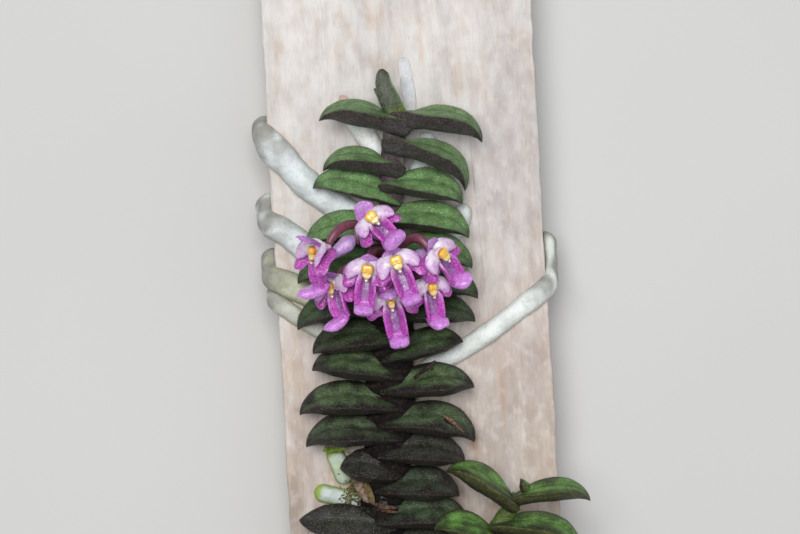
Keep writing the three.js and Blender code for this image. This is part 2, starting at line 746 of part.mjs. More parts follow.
// A pocket in the shoot, with the seat gap all round the stalk's foot.
function stalkPocket() {
  const curve = new THREE.CatmullRomCurve3(vectors(stalk.axis));
  const room = (stalk.radius + seatGap) / Math.cos(Math.PI / stemSides);
  const foot = new THREE.CatmullRomCurve3([0, 0.12, 0.24, 0.36].map((t) => curve.getPoint(t)));
  foot.points[0].add(new THREE.Vector3(0, 0.05, -seatGap));
  return tube(foot, () => room, stemSides, 4, new THREE.Vector3(1, 0, 0));
}

const plant = new THREE.Group();
plant.name = "orchid_on_slat";

plant.add(meshOf(slatSolid(), "wood_slat", colours.wood, 0.85));
const mainShoot = shoot(main, mainLeaves).subtract(stalkPocket());
plant.add(meshOf(mainShoot, "main_shoot", colours.leaf, 0.55));
plant.add(meshOf(shoot(side, sideLeaves), "side_shoot", colours.youngLeaf, 0.55));

const woodRoom = slatSolid(seatGap);
for (const [name, row] of Object.entries(roots)) {
  plant.add(meshOf(root(row).subtract(woodRoom), name, colours.root, 0.75));
}

plant.add(meshOf(stalkSolid(), "flower_stalk", colours.stalk, 0.45));
const antherShape = bar(antherLine, antherStations, 6, [0, 0, 1]);
blooms.forEach((row, i) => {
  const place = placement(row);
  const bloom = bloomSolid(row.build, row.hood).transform(place.elements);
  const anther = antherShape.transform(place.elements);
  plant.add(meshOf(bloom, `bloom_${i + 1}`, colours.bloom, 0.4));
  plant.add(meshOf(anther, `anther_cap_${i + 1}`, colours.anther, 0.3));
});

const dryCurve = new THREE.CatmullRomCurve3(vectors(oldStalk.axis));
plant.add(meshOf(tube(dryCurve, () => oldStalk.radius, 6, 3), "old_stalk", colours.dryStalk, 0.9));

export default plant;
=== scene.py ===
# One miniature orchid in flower on its weathered slat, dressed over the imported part.
import math

import bpy
import numpy as np
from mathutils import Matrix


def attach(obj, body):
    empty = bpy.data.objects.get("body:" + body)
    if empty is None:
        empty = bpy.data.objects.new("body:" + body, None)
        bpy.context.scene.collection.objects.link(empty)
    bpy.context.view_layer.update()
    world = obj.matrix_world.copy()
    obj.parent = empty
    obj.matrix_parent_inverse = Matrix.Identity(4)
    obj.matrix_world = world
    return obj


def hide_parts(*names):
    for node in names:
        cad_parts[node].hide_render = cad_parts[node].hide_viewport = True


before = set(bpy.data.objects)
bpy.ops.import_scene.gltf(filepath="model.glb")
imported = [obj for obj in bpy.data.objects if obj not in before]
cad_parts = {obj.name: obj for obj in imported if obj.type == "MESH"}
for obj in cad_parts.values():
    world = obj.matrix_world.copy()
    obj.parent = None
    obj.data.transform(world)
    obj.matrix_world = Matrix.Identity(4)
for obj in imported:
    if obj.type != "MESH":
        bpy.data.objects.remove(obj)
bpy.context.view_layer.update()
mm = 0.001  # shapes below are in millimetres until they become meshes

# The camera looks straight down on the slat's face and is turned a little, so the slat leans.
photoView = {
    "place": (-1.18, 6.0, 308.0),
    "turn": -3.24,
    "range": 300.0,  # from the lens to the slat's face
    "seenWidth": 87.43,  # what the frame takes in at that range
    "sensor": 36.0,
}
cameraData = bpy.data.cameras.new("viewCamera")
cameraData.sensor_width = photoView["sensor"]
cameraData.lens = photoView["sensor"] * photoView["range"] / photoView["seenWidth"]
cameraData.clip_start, cameraData.clip_end = 0.01, 10
camera = bpy.data.objects.new("viewCamera", cameraData)
camera.location = [v * mm for v in photoView["place"]]
camera.rotation_euler = (0, 0, math.radians(photoView["turn"]))
bpy.context.scene.collection.objects.link(camera)
bpy.context.scene.camera = camera
bpy.context.scene.view_settings.view_transform = "Standard"
print("camera placed")


def shade(*rgb):
    # a screen colour out of 255 as the linear value that shaders take
    c = np.asarray(rgb, float) / 255
    return np.where(c <= 0.04045, c / 12.92, ((c + 0.055) / 1.055) ** 2.4)


def unit(v):
    # each vector divided by its length
    return v / np.maximum(np.linalg.norm(v, axis=-1, keepdims=True), 1e-9)


def ease(t):
    # 3t^2 - 2t^3 between 0 and 1
    t = np.clip(t, 0, 1)
    return t * t * (3 - 2 * t)


def circle(count):
    # angles at even steps once round
    return np.linspace(0, 2 * np.pi, count, endpoint=False)


def domed(s, rounding, least):
    # 1, and over the last part of the line sqrt(1 - x^2), but never under the root of the least
    return np.sqrt(np.clip(1 - (np.maximum(s - (1 - rounding), 0) / rounding) ** 2, least, 1))


def spokesOf(up, across, x, z):
    # the directions across x + up z round each place of a line
    return up[:, None] * z[..., None] + across[:, None] * x[..., None]


def hill(x, middle, width):
    # e to the power of minus ((x - middle) / width) squared
    return np.exp(-(((x - middle) / width) ** 2))


def mixed(a, b, t):
    # a + (b - a) t, with t held between 0 and 1
    t = np.clip(np.asarray(t, float), 0, 1)[..., None]
    return a + (b - a) * t


def glazed(tint, look, **weights):
    # the look's named colours laid over the tint in turn, each by its weight
    for name, weight in weights.items():
        tint = mixed(tint, look[name], weight)
    return tint


def waves(p, size, seed, count=6):
    # mean of sin(2 pi p.d / size + phase) over a few seeded directions d, about -1 to 1
    rng = np.random.default_rng(seed)
    d = unit(rng.normal(size=(count, p.shape[-1]))) * rng.uniform(0.7, 1.4, (count, 1))
    return np.sin(p @ d.T * (2 * np.pi / size) + rng.uniform(0, 2 * np.pi, count)).mean(-1) * 1.6


def cloud(x, y, seed, layers=3):
    # seeded heights on a unit lattice, blended by 3t^2 - 2t^3, and again at half size and half height
    x, y = np.broadcast_arrays(x, y)
    total = np.zeros(x.shape)
    for layer in range(layers):
        heights = np.random.default_rng(seed + layer).uniform(-1, 1, (128, 128))
        u, v = x * 2**layer, y * 2**layer
        i, j = np.floor(u).astype(int), np.floor(v).astype(int)
        fu, fv = ease(u - i), ease(v - j)
        near = heights[i % 128, j % 128] * (1 - fu) + heights[(i + 1) % 128, j % 128] * fu
        far = heights[i % 128, (j + 1) % 128] * (1 - fu) + heights[(i + 1) % 128, (j + 1) % 128] * fu
        total += (near * (1 - fv) + far * fv) / 2**layer
    return total


def bezier(points, s):
    # place = sum of C(n,k) s^k (1-s)^(n-k) P_k, and the slope is the same sum over n (P_k+1 - P_k)
    p = np.asarray(points, float)
    n = len(p) - 1
    s = np.asarray(s, float)[..., None]
    place = sum(math.comb(n, k) * s**k * (1 - s) ** (n - k) * p[k] for k in range(n + 1))
    slope = sum(math.comb(n - 1, k) * s**k * (1 - s) ** (n - 1 - k) * (p[k + 1] - p[k]) for k in range(n))
    return place, unit(slope)


def through(points, t):
    # centripetal Catmull-Rom: Hermite spans P1 h00 + M1 h10 + P2 h01 + M2 h11, where the slopes M
    # weigh the neighbouring spans by the square root of their lengths
    p = np.asarray(points, float)
    p = np.vstack([2 * p[0] - p[1], p, 2 * p[-1] - p[-2]])
    at = np.clip(np.asarray(t, float) * (len(p) - 3), 0, len(p) - 3 - 1e-9)
    i = at.astype(int)
    w = (at - i)[..., None]
    p0, p1, p2, p3 = (p[i + k] for k in range(4))
    spans = (p1 - p0, p2 - p1, p3 - p2)
    d0, d1, d2 = (np.sqrt(np.linalg.norm(span, axis=-1, keepdims=True)) for span in spans)
    m1 = ((p1 - p0) / d0 - (p2 - p0) / (d0 + d1) + (p2 - p1) / d1) * d1
    m2 = ((p2 - p1) / d1 - (p3 - p1) / (d1 + d2) + (p3 - p2) / d2) * d1
    w2, w3 = w**2, w**3
    place = p1 * (2 * w3 - 3 * w2 + 1) + m1 * (w3 - 2 * w2 + w) + p2 * (3 * w2 - 2 * w3) + m2 * (w3 - w2)
    slope = p1 * (6 * w2 - 6 * w) + m1 * (3 * w2 - 4 * w + 1) + p2 * (6 * w - 6 * w2) + m2 * (3 * w2 - 2 * w)
    return place, unit(slope)


def sidesOf(along, facing):
    # up = facing less its part along the line, made unit; across = along x up
    facing = np.broadcast_to(np.asarray(facing, float), along.shape)
    up = unit(facing - (facing * along).sum(-1, keepdims=True) * along)
    return up, np.cross(along, up)


def read(table, s):
    # a smooth curve through (place, value) pairs, read off at s
    dense, _ = through(table, np.linspace(0, 1, 400))
    return np.interp(s, dense[:, 0], dense[:, 1])


def ringQuads(rows, columns):
    # a quad for each cell between neighbouring rings of points
    r, c = np.meshgrid(np.arange(rows - 1), np.arange(columns), indexing="ij")
    here, below, d = r * columns, (r + 1) * columns, (c + 1) % columns
    return np.stack([here + c, below + c, below + d, here + d], -1).reshape(-1, 4)


def closedSkin(grid, tint, speck=0.0):
    # rings of points joined by quads, with each end ring joined to a point at its mean; turned
    # inside out if its volume, the sum of a.(b x c) / 6, comes out negative
    rows, columns = grid.shape[:2]
    quads = ringQuads(rows, columns)
    k, last, first = np.arange(columns), (rows - 1) * columns, np.full(columns, rows * columns)
    after = (k + 1) % columns
    tris = [np.stack([first, k, after], -1), np.stack([first + 1, last + after, last + k], -1)]
    tris = np.concatenate(tris)

    def flat(values, width):
        values = np.broadcast_to(values, (rows, columns, width)).astype(float)
        return np.concatenate([values.reshape(-1, width), values[0].mean(0)[None], values[-1].mean(0)[None]])

    points = flat(grid, 3)
    corners = np.concatenate([quads[:, [0, 1, 2]], quads[:, [0, 2, 3]], tris])
    a, b, c = (points[corners[:, j]] - points[0] for j in range(3))
    if (a * np.cross(b, c)).sum() < 0:
        quads, tris = quads[:, ::-1], tris[:, ::-1]
    speck = np.broadcast_to(np.asarray(speck, float), (rows, columns))[..., None]
    return {"points": points, "quads": quads, "tris": tris, "tint": flat(tint, 3), "speck": flat(speck, 1)}


def moved(skin, turn, at, size=1.0):
    # every point p becomes turn (size p) + at
    return {**skin, "points": skin["points"] * size @ np.asarray(turn).T + np.asarray(at)}


def makePiece(name, skins, material, nodes=()):
    # the skins one after another in one mesh, with their tints and specks as point attributes
    starts = np.cumsum([0] + [len(s["points"]) for s in skins])
    points = np.concatenate([s["points"] for s in skins]) * mm
    quads = np.concatenate([s["quads"] + k for s, k in zip(skins, starts)])
    tris = np.concatenate([s["tris"] + k for s, k in zip(skins, starts)])
    corners = np.concatenate([quads.ravel(), tris.ravel()])
    sizes = np.concatenate([np.full(len(quads), 4), np.full(len(tris), 3)])
    mesh = bpy.data.meshes.new(name)
    mesh.vertices.add(len(points))
    mesh.vertices.foreach_set("co", points.astype(np.float32).ravel())
    mesh.loops.add(len(corners))
    mesh.loops.foreach_set("vertex_index", corners.astype(np.int32))
    mesh.polygons.add(len(sizes))
    mesh.polygons.foreach_set("loop_start", (np.cumsum(sizes) - sizes).astype(np.int32))
    mesh.update(calc_edges=True)
    mesh.shade_smooth()
    tint = np.concatenate([s["tint"] for s in skins])
    colours = np.concatenate([tint, np.ones((len(tint), 1))], 1).astype(np.float32)
    mesh.attributes.new("tint", "FLOAT_COLOR", "POINT").data.foreach_set("color", colours.ravel())
    speck = np.concatenate([s["speck"] for s in skins]).astype(np.float32)
    mesh.attributes.new("speck", "FLOAT", "POINT").data.foreach_set("value", speck.ravel())
    mesh.materials.append(materials[material])
    piece = bpy.data.objects.new(name, mesh)
    bpy.context.scene.collection.objects.link(piece)
    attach(piece, "root")
    if nodes:
        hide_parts(*nodes)
    print(f"{name}: {2 * len(quads) + len(tris)} triangles")


def node(tree, kind, inputs=None, **settings):
    # a shader node with its properties set and its inputs filled by numbers or other nodes' sockets
    made = tree.nodes.new("ShaderNode" + kind)
    for key, value in settings.items():
        setattr(made, key, value)
    for key, value in (inputs or {}).items():
        if isinstance(value, bpy.types.NodeSocket):
            tree.links.new(value, made.inputs[key])
        else:
            made.inputs[key].default_value = value
    return made


def tintOver(tree, factor, a, b, mode):
    # b laid over a by the factor, in the given blending mode
    inputs = {"Factor": factor, 6: a, 7: b}
    return node(tree, "Mix", inputs, data_type="RGBA", blend_type=mode).outputs[2]


def ramped(tree, value, low, high, to=(0.0, 1.0)):
    # value from low..high carried to the given range, and held there
    limits = {"Value": value, "From Min": low, "From Max": high, "To Min": to[0], "To Max": to[1]}
    return node(tree, "MapRange", limits).outputs["Result"]


def stretched(tree, place, scale, turn=(0, 0, 0), shift=(0, 0, 0)):
    # the place scaled, then turned, then shifted
    inputs = {"Vector": place, "Scale": scale, "Rotation": turn, "Location": shift}
    return node(tree, "Mapping", inputs).outputs["Vector"]


def grain(tree, place, scale, detail=2.0, stretch=(1, 1, 1), turn=(0, 0, 0)):
    # noise of about one blot for each 1 / scale millimetres, drawn out by the stretch
    at = stretched(tree, place, stretch, turn)
    return node(tree, "TexNoise", {"Vector": at, "Scale": scale, "Detail": detail}).outputs["Fac"]


def cells(tree, place, scale, stretch=(1, 1, 1)):
    # distance to the nearest of the scattered cell points, `scale` of them in a millimetre
    at = stretched(tree, place, stretch)
    return node(tree, "TexVoronoi", {"Vector": at, "Scale": scale}).outputs["Distance"]


def yearRings(tree, place, scale, stretch, heart):
    # sawtooth rings round a heart along Y, a little distorted
    at = stretched(tree, place, stretch, shift=heart)
    waved = {"Vector": at, "Scale": scale, "Distortion": 1.6, "Detail": 3.0, "Detail Scale": 0.5}
    sawtooth = {"wave_type": "RINGS", "rings_direction": "Y", "wave_profile": "SAW"}
    return node(tree, "TexWave", waved, **sawtooth).outputs["Fac"]


# Each material's plain sockets and patterns, and what follows the patterns. Layers of colour:
# pattern, its value where the layer starts and where it is full, strength, colour, how it blends,
# and speck if the skins' own speck masks it. Roughness: pattern, smoothest, roughest. Relief:
# pattern, depth in millimetres, strength, and its values at the bottom and the top if not 0 and 1.
materialLooks = {
    # pale fibres along Y over the painted weathering, short pores, and year rings round a heart
    # below the slat, which show most on the sawn ends
    "weathered_wood": {
        "sockets": {"Specular IOR Level": 0.25},
        "patterns": {
            "fibre": (grain, 1.0, 4.0, (7.5, 0.7, 7.5)),
            "streak": (grain, 1.0, 3.0, (2.6, 0.3, 2.6)),
            "stain": (grain, 0.62, 4.0, (1, 0.6, 1)),
            "bleach": (grain, 1.1, 3.0, (1, 0.7, 1), (0, 0, 0.5)),
            "pore": (cells, 1.0, (2.4, 0.3, 2.4)),
            "ring": (yearRings, 0.21, (1, 0.012, 1), (-6, 0, 24)),
        },
        "layers": [
            ("fibre", 0.42, 0.68, 0.1, (204, 186, 172), "MULTIPLY"),
            ("streak", 0.5, 0.72, 0.12, (232, 228, 225), "MIX"),
            ("stain", 0.44, 0.66, 0.34, (208, 190, 176), "MULTIPLY"),
            ("bleach", 0.52, 0.7, 0.3, (232, 226, 222), "MIX"),
            ("ring", 0.6, 1.0, 0.08, (204, 184, 166), "MULTIPLY"),
            ("ring", 0.35, 1.0, 0.75, (176, 142, 112), "MULTIPLY", "speck"),
            ("pore", 0.14, 0.04, 0.28, (176, 138, 108), "MIX"),
        ],
        "rough": ("fibre", 0.74, 0.92),
        "relief": [("fibre", 0.12, 0.7), ("pore", 0.06, 0.5, 0.0, 0.2)],
    },
    # pebbled skin: tiny raised cells, pale dots, and uneven green
    "leaf_skin": {
        "sockets": {"Specular IOR Level": 0.3},
        "patterns": {
            "blot": (grain, 1.1, 4.0),
            "fine": (grain, 5.5, 3.0),
            "pebble": (cells, 4.2),
            "dot": (cells, 4.6),
        },
        "layers": [
            ("blot", 0.4, 0.64, 0.6, (172, 174, 162), "MULTIPLY"),
            ("fine", 0.52, 0.74, 0.2, (134, 148, 110), "MIX"),
            ("pebble", 0.3, 0.62, 0.5, (140, 142, 134), "MULTIPLY"),
            ("dot", 0.26, 0.1, 0.6, (150, 152, 144), "MIX", "speck"),
        ],
        "rough": ("fine", 0.32, 0.55),
        "relief": [("pebble", 0.07, 0.9, 0.5, 0.0), ("fine", 0.06, 0.7)],
    },
    # chalky spongy skin: soft grey blotches, pin-prick pores, a matt bloom
    "root_skin": {
        "sockets": {
            "Specular IOR Level": 0.2,
            "Subsurface Weight": 0.2,
            "Subsurface Scale": 0.5 * mm,
            "Subsurface Radius": (1.0, 0.9, 0.7),
        },
        "patterns": {
            "blot": (grain, 0.75, 3.0),
            "fine": (grain, 4.5, 3.0),
            "lump": (grain, 1.6, 1.0),
            "pore": (cells, 3.4),
        },
        "layers": [
            ("blot", 0.45, 0.68, 0.5, (196, 204, 198), "MULTIPLY"),
            ("fine", 0.52, 0.7, 0.3, (186, 186, 170), "MULTIPLY"),
            ("pore", 0.16, 0.05, 0.5, (120, 116, 84), "MIX", "speck"),
        ],
        "rough": ("blot", 0.9, 0.7),
        "relief": [("fine", 0.07, 0.7), ("lump", 0.16, 0.5)],
    },
    # watery flesh: light passes through, tiny bead-like cells glint in the relief, and near-white painted
    # glints lie where the skins' speck is high
    "petal_flesh": {
        "sockets": {
            "Specular IOR Level": 0.6,
            "Subsurface Weight": 0.35,
            "Subsurface Scale": 0.45 * mm,
            "Subsurface Radius": (1.0, 0.5, 1.0),
            "Coat Weight": 0.35,
            "Coat Roughness": 0.16,
        },
        "patterns": {
            "blot": (grain, 1.8, 3.0),
            "fine": (grain, 6.0, 2.0),
            "bead": (cells, 6.5),
            "glint": (cells, 4.4),
        },
        "layers": [
            ("blot", 0.42, 0.64, 0.7, (228, 192, 230), "MULTIPLY"),
            ("fine", 0.5, 0.7, 0.35, (244, 226, 244), "MIX"),
            # painted glints: near white at the scattered cell points, by the skins' speck
            ("glint", 0.2, 0.1, 0.8, (252, 240, 250), "MIX", "speck"),
        ],
        "rough": ("blot", 0.22, 0.42),
        "relief": [("bead", 0.05, 0.8, 0.6, 0.0), ("blot", 0.1, 0.5)],
    },
    # waxy gold, deeper in patches, under a wet coat
    "anther_wax": {
        "sockets": {
            "Specular IOR Level": 0.6,
            "Subsurface Weight": 0.15,
            "Subsurface Scale": 0.3 * mm,
            "Coat Weight": 0.7,
            "Coat Roughness": 0.12,
        },
        "patterns": {"blot": (grain, 3.2, 2.0)},
        "layers": [("blot", 0.45, 0.65, 0.5, (232, 176, 96), "MULTIPLY")],
        "rough": ("blot", 0.2, 0.38),
        "relief": [("blot", 0.06, 0.5)],
    },
    # juicy maroon skin with paler flecks and a soft shine
    "stalk_skin": {
        "sockets": {"Specular IOR Level": 0.5, "Coat Weight": 0.25, "Coat Roughness": 0.25},
        "patterns": {"blot": (grain, 2.2, 3.0), "fine": (grain, 9.0, 1.0)},
        "layers": [
            ("blot", 0.4, 0.66, 0.5, (176, 150, 152), "MULTIPLY"),
            ("fine", 0.56, 0.72, 0.3, (150, 108, 118), "MIX"),
        ],
        "rough": ("blot", 0.3, 0.5),
        "relief": [("fine", 0.03, 0.6)],
    },
    # dry papery or mossy scraps: streaky, dull, pitted
    "dry_scraps": {
        "sockets": {"Specular IOR Level": 0.15},
        "patterns": {"blot": (grain, 2.6, 4.0), "fine": (grain, 8.0, 2.0)},
        "layers": [("blot", 0.36, 0.64, 0.8, (120, 104, 88), "MULTIPLY")],
        "rough": ("fine", 0.75, 0.98),
        "relief": [("fine", 0.12, 0.8)],
    },
    # plain pale floor with a faint mottle
    "floor_paper": {
        "sockets": {"Specular IOR Level": 0.1, "Roughness": 0.95},
        "base": (206, 206, 204),
        "patterns": {"mottle": (grain, 0.02)},
        "layers": [("mottle", 0.4, 0.6, 0.2, (198, 198, 198), "MIX")],
        "relief": [],
    },
}
youngSockets = {"Specular IOR Level": 0.35}
materialLooks["young_leaf_skin"] = {**materialLooks["leaf_skin"], "sockets": youngSockets}


def makeMaterial(name, look):
    # a principled surface with its patterns read by the place in millimetres, over the skins' tint
    material = bpy.data.materials.new(name)
    material.use_nodes = True
    tree = material.node_tree
    surface = tree.nodes["Principled BSDF"]
    for key, value in look["sockets"].items():
        surface.inputs[key].default_value = value
    place = stretched(tree, node(tree, "TexCoord").outputs["Object"], (1 / mm, 1 / mm, 1 / mm))
    seen = {key: make(tree, place, *numbers) for key, (make, *numbers) in look["patterns"].items()}
    seen["speck"] = node(tree, "Attribute", attribute_name="speck").outputs["Fac"]
    colour = node(tree, "Attribute", attribute_name="tint").outputs["Color"]
    if "base" in look:
        colour = (*shade(*look["base"]), 1)
    for pattern, start, full, strength, over, mode, *masks in look["layers"]:
        factor = ramped(tree, seen[pattern], start, full, (0, strength))
        for mask in masks:
            factor = node(tree, "Math", {0: factor, 1: seen[mask]}, operation="MULTIPLY").outputs[0]
        colour = tintOver(tree, factor, colour, (*shade(*over), 1), mode)
    tree.links.new(colour, surface.inputs["Base Color"])
    if "rough" in look:
        pattern, smooth, rough = look["rough"]
        rough = ramped(tree, seen[pattern], 0.3, 0.7, (smooth, rough))
        tree.links.new(rough, surface.inputs["Roughness"])
    for pattern, depth, strength, *levels in look["relief"]:
        height = ramped(tree, seen[pattern], *levels) if levels else seen[pattern]
        inputs = {"Height": height, "Distance": depth * mm, "Strength": strength}
        for link in surface.inputs["Normal"].links:
            inputs["Normal"] = link.from_socket
        bump = node(tree, "Bump", inputs).outputs["Normal"]
        tree.links.new(bump, surface.inputs["Normal"])
    return material


materials = {name: makeMaterial(name, look) for name, look in materialLooks.items()}
print("materials ready")

slatLook = {
    "width": 30.0,
    "length": 84.0,
    "thickness": 8.0,
    "eased": 0.5,
    "faceColumns": 300,
    "sideColumns": 24,
    "cornerColumns": 8,
    "backColumns": 14,
    "rows": 200,
    "seed": 11,
    # the rounding and the sawn face at each end: how far beyond the last row, and how far inwards
    "ends": [(0.19, 0.04), (0.35, 0.15), (0.46, 0.31)] + [(0.5, 0.5 + 0.42 * k) for k in range(9)],
    # the face's colour along Y, from the bottom of the slat to its top: lighter towards the top, partly the
    # wood's own weathering and partly painted light falloff
    "along": [
        (-42, shade(180, 166, 152)),
        (-18, shade(193, 180, 168)),
        (2, shade(210, 202, 196)),
        (20, shade(214, 211, 208)),
        (42, shade(219, 217, 215)),
    ],
    "grey": shade(190, 186, 187),
    "tan": shade(208, 186, 166),
    "bleached": shade(230, 226, 223),
    # weathering in patches: colour, strength, more at the lower left; patch width, length and seed;
    # how sharply a patch begins, more to the right, how rare it is
    "weather": [
        ("bleached", 0.5, 0, 1.6, 6.5, 71, 1.3, 0, 0.1),
        ("grey", 0.42, 0, 1.3, 6.0, 83, 1.2, 0.15, 0.2),
        ("tan", 0.28, 0, 0.55, 3.4, 97, 1.6, 0, 0.45),
        ("tan", 0.28, 0.3, 2.2, 5.0, 101, 1.5, 0, 0.3),
        ("grey", 0.25, 0, 6.0, 0.7, 107, 1.8, 0, 0.9),
    ],
    # weather marks on the face: place, spread, colour, strength
    "marks": [
        ((10.5, 16.0), (2.6, 9.0), shade(184, 178, 180), 0.55),
        ((12.5, 27.0), (2.0, 7.0), shade(190, 184, 184), 0.45),
        ((9.0, -1.5), (2.5, 5.0), shade(196, 180, 172), 0.35),
        ((-10.5, 30.0), (4.5, 9.0), shade(232, 229, 227), 0.4),
        ((5.9, -13.0), (0.5, 2.6), shade(168, 122, 84), 0.7),
        ((9.2, -8.5), (0.35, 3.0), shade(186, 134, 86), 0.6),
        ((12.0, -5.0), (2.5, 4.0), shade(188, 172, 168), 0.5),
        ((-14.2, -20.0), (0.9, 5.0), shade(150, 138, 132), 0.6),
        ((-12.6, -9.0), (1.6, 0.25), shade(160, 120, 90), 0.5),
        ((-11.5, 3.2), (2.6, 0.4), shade(176, 150, 124), 0.5),
        ((2.5, 30.0), (0.3, 2.2), shade(206, 160, 124), 0.5),
        ((-3.0, 33.5), (0.25, 1.6), shade(206, 164, 128), 0.45),
        ((8.0, 31.0), (1.4, 5.0), shade(222, 216, 214), 0.5),
        ((13.4, 8.0), (0.5, 6.0), shade(180, 172, 172), 0.45),
        ((9.5, -11.0), (4.5, 8.0), shade(180, 170, 162), 0.4),
        ((-11.2, -16.2), (2.6, 3.4), shade(168, 154, 146), 0.5),
    ],
    # fine checks in the face: x, first and last y, depth
    "checks": [
        (-8.3, 24, 37, 0.16),
        (3.6, 28, 40, 0.12),
        (7.4, 3, 22, 0.14),
        (11.8, -12, 4, 0.14),
        (-12.9, -30, -14, 0.16),
        (9.6, -40, -24, 0.18),
        (-6.2, -41, -33, 0.14),
        (13.3, 20, 33, 0.15),
        (1.2, 33, 41, 0.12),
    ],
}


def slatSkin():
    # Rings in XZ, walked face, corner, side, corner, back and round again, carried along Y. Every
    # point but the back's moves inwards by fibre ridges, a slow unevenness and the fine checks:
    # depth = 0.05 (1 + cloud(x/0.45, y/7)) + 0.05 (1 + cloud(x/1.7, y/15)) + checks.
    look, seed = slatLook, slatLook["seed"]
    w, t, e = look["width"] / 2, look["thickness"], look["eased"]
    flat = w - e
    face = np.linspace(-flat, flat, look["faceColumns"])
    side = np.linspace(e, t - e, look["sideColumns"])
    turn = np.linspace(0, np.pi / 2, look["cornerColumns"])[1:-1]
    sine, cosine = e * np.sin(turn), e * np.cos(turn)
    back = np.linspace(flat, -flat, look["backColumns"])
    x = [face, flat + sine, 0 * side + w, flat + cosine, back, -flat - sine, 0 * side - w, -flat - cosine]
    z = [0 * face + t, t - e + cosine, side[::-1], e - sine, 0 * back, e - cosine, side, t - e + sine]
    sine, cosine = np.sin(turn), np.cos(turn)
    outX = [0 * face, sine, 0 * side + 1, cosine, 0 * back, -sine, 0 * side - 1, -cosine]
    outZ = [0 * face + 1, cosine, 0 * side, -sine, 0 * back - 1, -cosine, 0 * side, sine]
    x, z, outX, outZ = (np.concatenate(parts) for parts in (x, z, outX, outZ))
    free = ease(z / 1.6)  # nothing moves on the flat back
    around = np.where(np.abs(x) < flat, x, np.sign(x) * (flat + (t - z)))
    ends = np.array(look["ends"])
    middle = np.linspace(-(look["length"] / 2 - e), look["length"] / 2 - e, look["rows"])
    y = np.concatenate([middle[0] - ends[::-1, 0], middle, middle[-1] + ends[:, 0]])
    inset = np.concatenate([ends[::-1, 1], 0 * middle, ends[:, 1]])[:, None]
    u, v = np.broadcast_arrays(around[None], y[:, None])
    depth = 0.05 * (1 + cloud(u / 0.45, v / 7, seed)) + 0.05 * (1 + cloud(u / 1.7, v / 15, seed + 5))
    for at, low, high, deep in look["checks"]:
        line = at + 0.35 * np.sin(v / 6.5 + at)
        depth = depth + deep * hill(u, line, 0.11) * ease((v - low) / 3) * ease((high - v) / 3)
    edge = ease((np.abs(u) - flat + 0.5) / 0.8)
    depth = (depth + 0.12 * edge * (1 + cloud(v / 2.6, u / 4, seed + 9))) * free
    gridX = (x - outX * depth) * (1 - inset / w)
    gridZ = t / 2 + (z - outZ * depth - t / 2) * (1 - inset / (t / 2))
    rough = 0.1 * (1 + cloud(gridX / 0.9, gridZ / 0.5, 31)) * ease(gridZ / 1.6)
    gridY = y[:, None] - np.sign(y)[:, None] * np.where(inset > 0.45, rough, 0)
    grid = np.stack([gridX, gridY, gridZ], -1)

    # the face's colour along Y, lighter towards the top: partly the wood's weathering, partly painted light
    # falloff
    stops = np.array([a for a, _ in look["along"]], float)
    base = np.stack([np.interp(v, stops, [c[k] for _, c in look["along"]]) for k in range(3)], -1)
    lowerLeft = ease(-u / 12) * ease(-v / 14)
    for colour, strength, more, wide, tall, patch, sharp, lean, rare in look["weather"]:
        here = ease(sharp * cloud(u / wide, v / tall, patch) + lean * u / w - rare)
        base = mixed(base, look[colour], (strength + more * lowerLeft) * here)
    for (mx, my), (sx, sy), colour, strength in look["marks"]:
        spot = np.exp(-(((u - mx) / sx) ** 2) - ((v - my) / sy) ** 2)
        base = mixed(base, colour, strength * spot * (1 + 0.5 * cloud(u / 1.2, v / 2.2, 113)))
    lower = ease((flat + 6.5 - np.abs(u)) / 6)[..., None]
    base = base * (0.82 + 0.18 * lower)
    sawn = ease((inset - 0.28) / 0.15) + 0 * u
    endTint = mixed(look["tan"], look["grey"], 0.5 + 0.5 * cloud(gridX / 1.6, gridZ / 0.7, 127))
    return closedSkin(grid, mixed(base, endTint, sawn), sawn)


makePiece("wood_slat_dressed", [slatSkin()], "weathered_wood", ["wood_slat"])

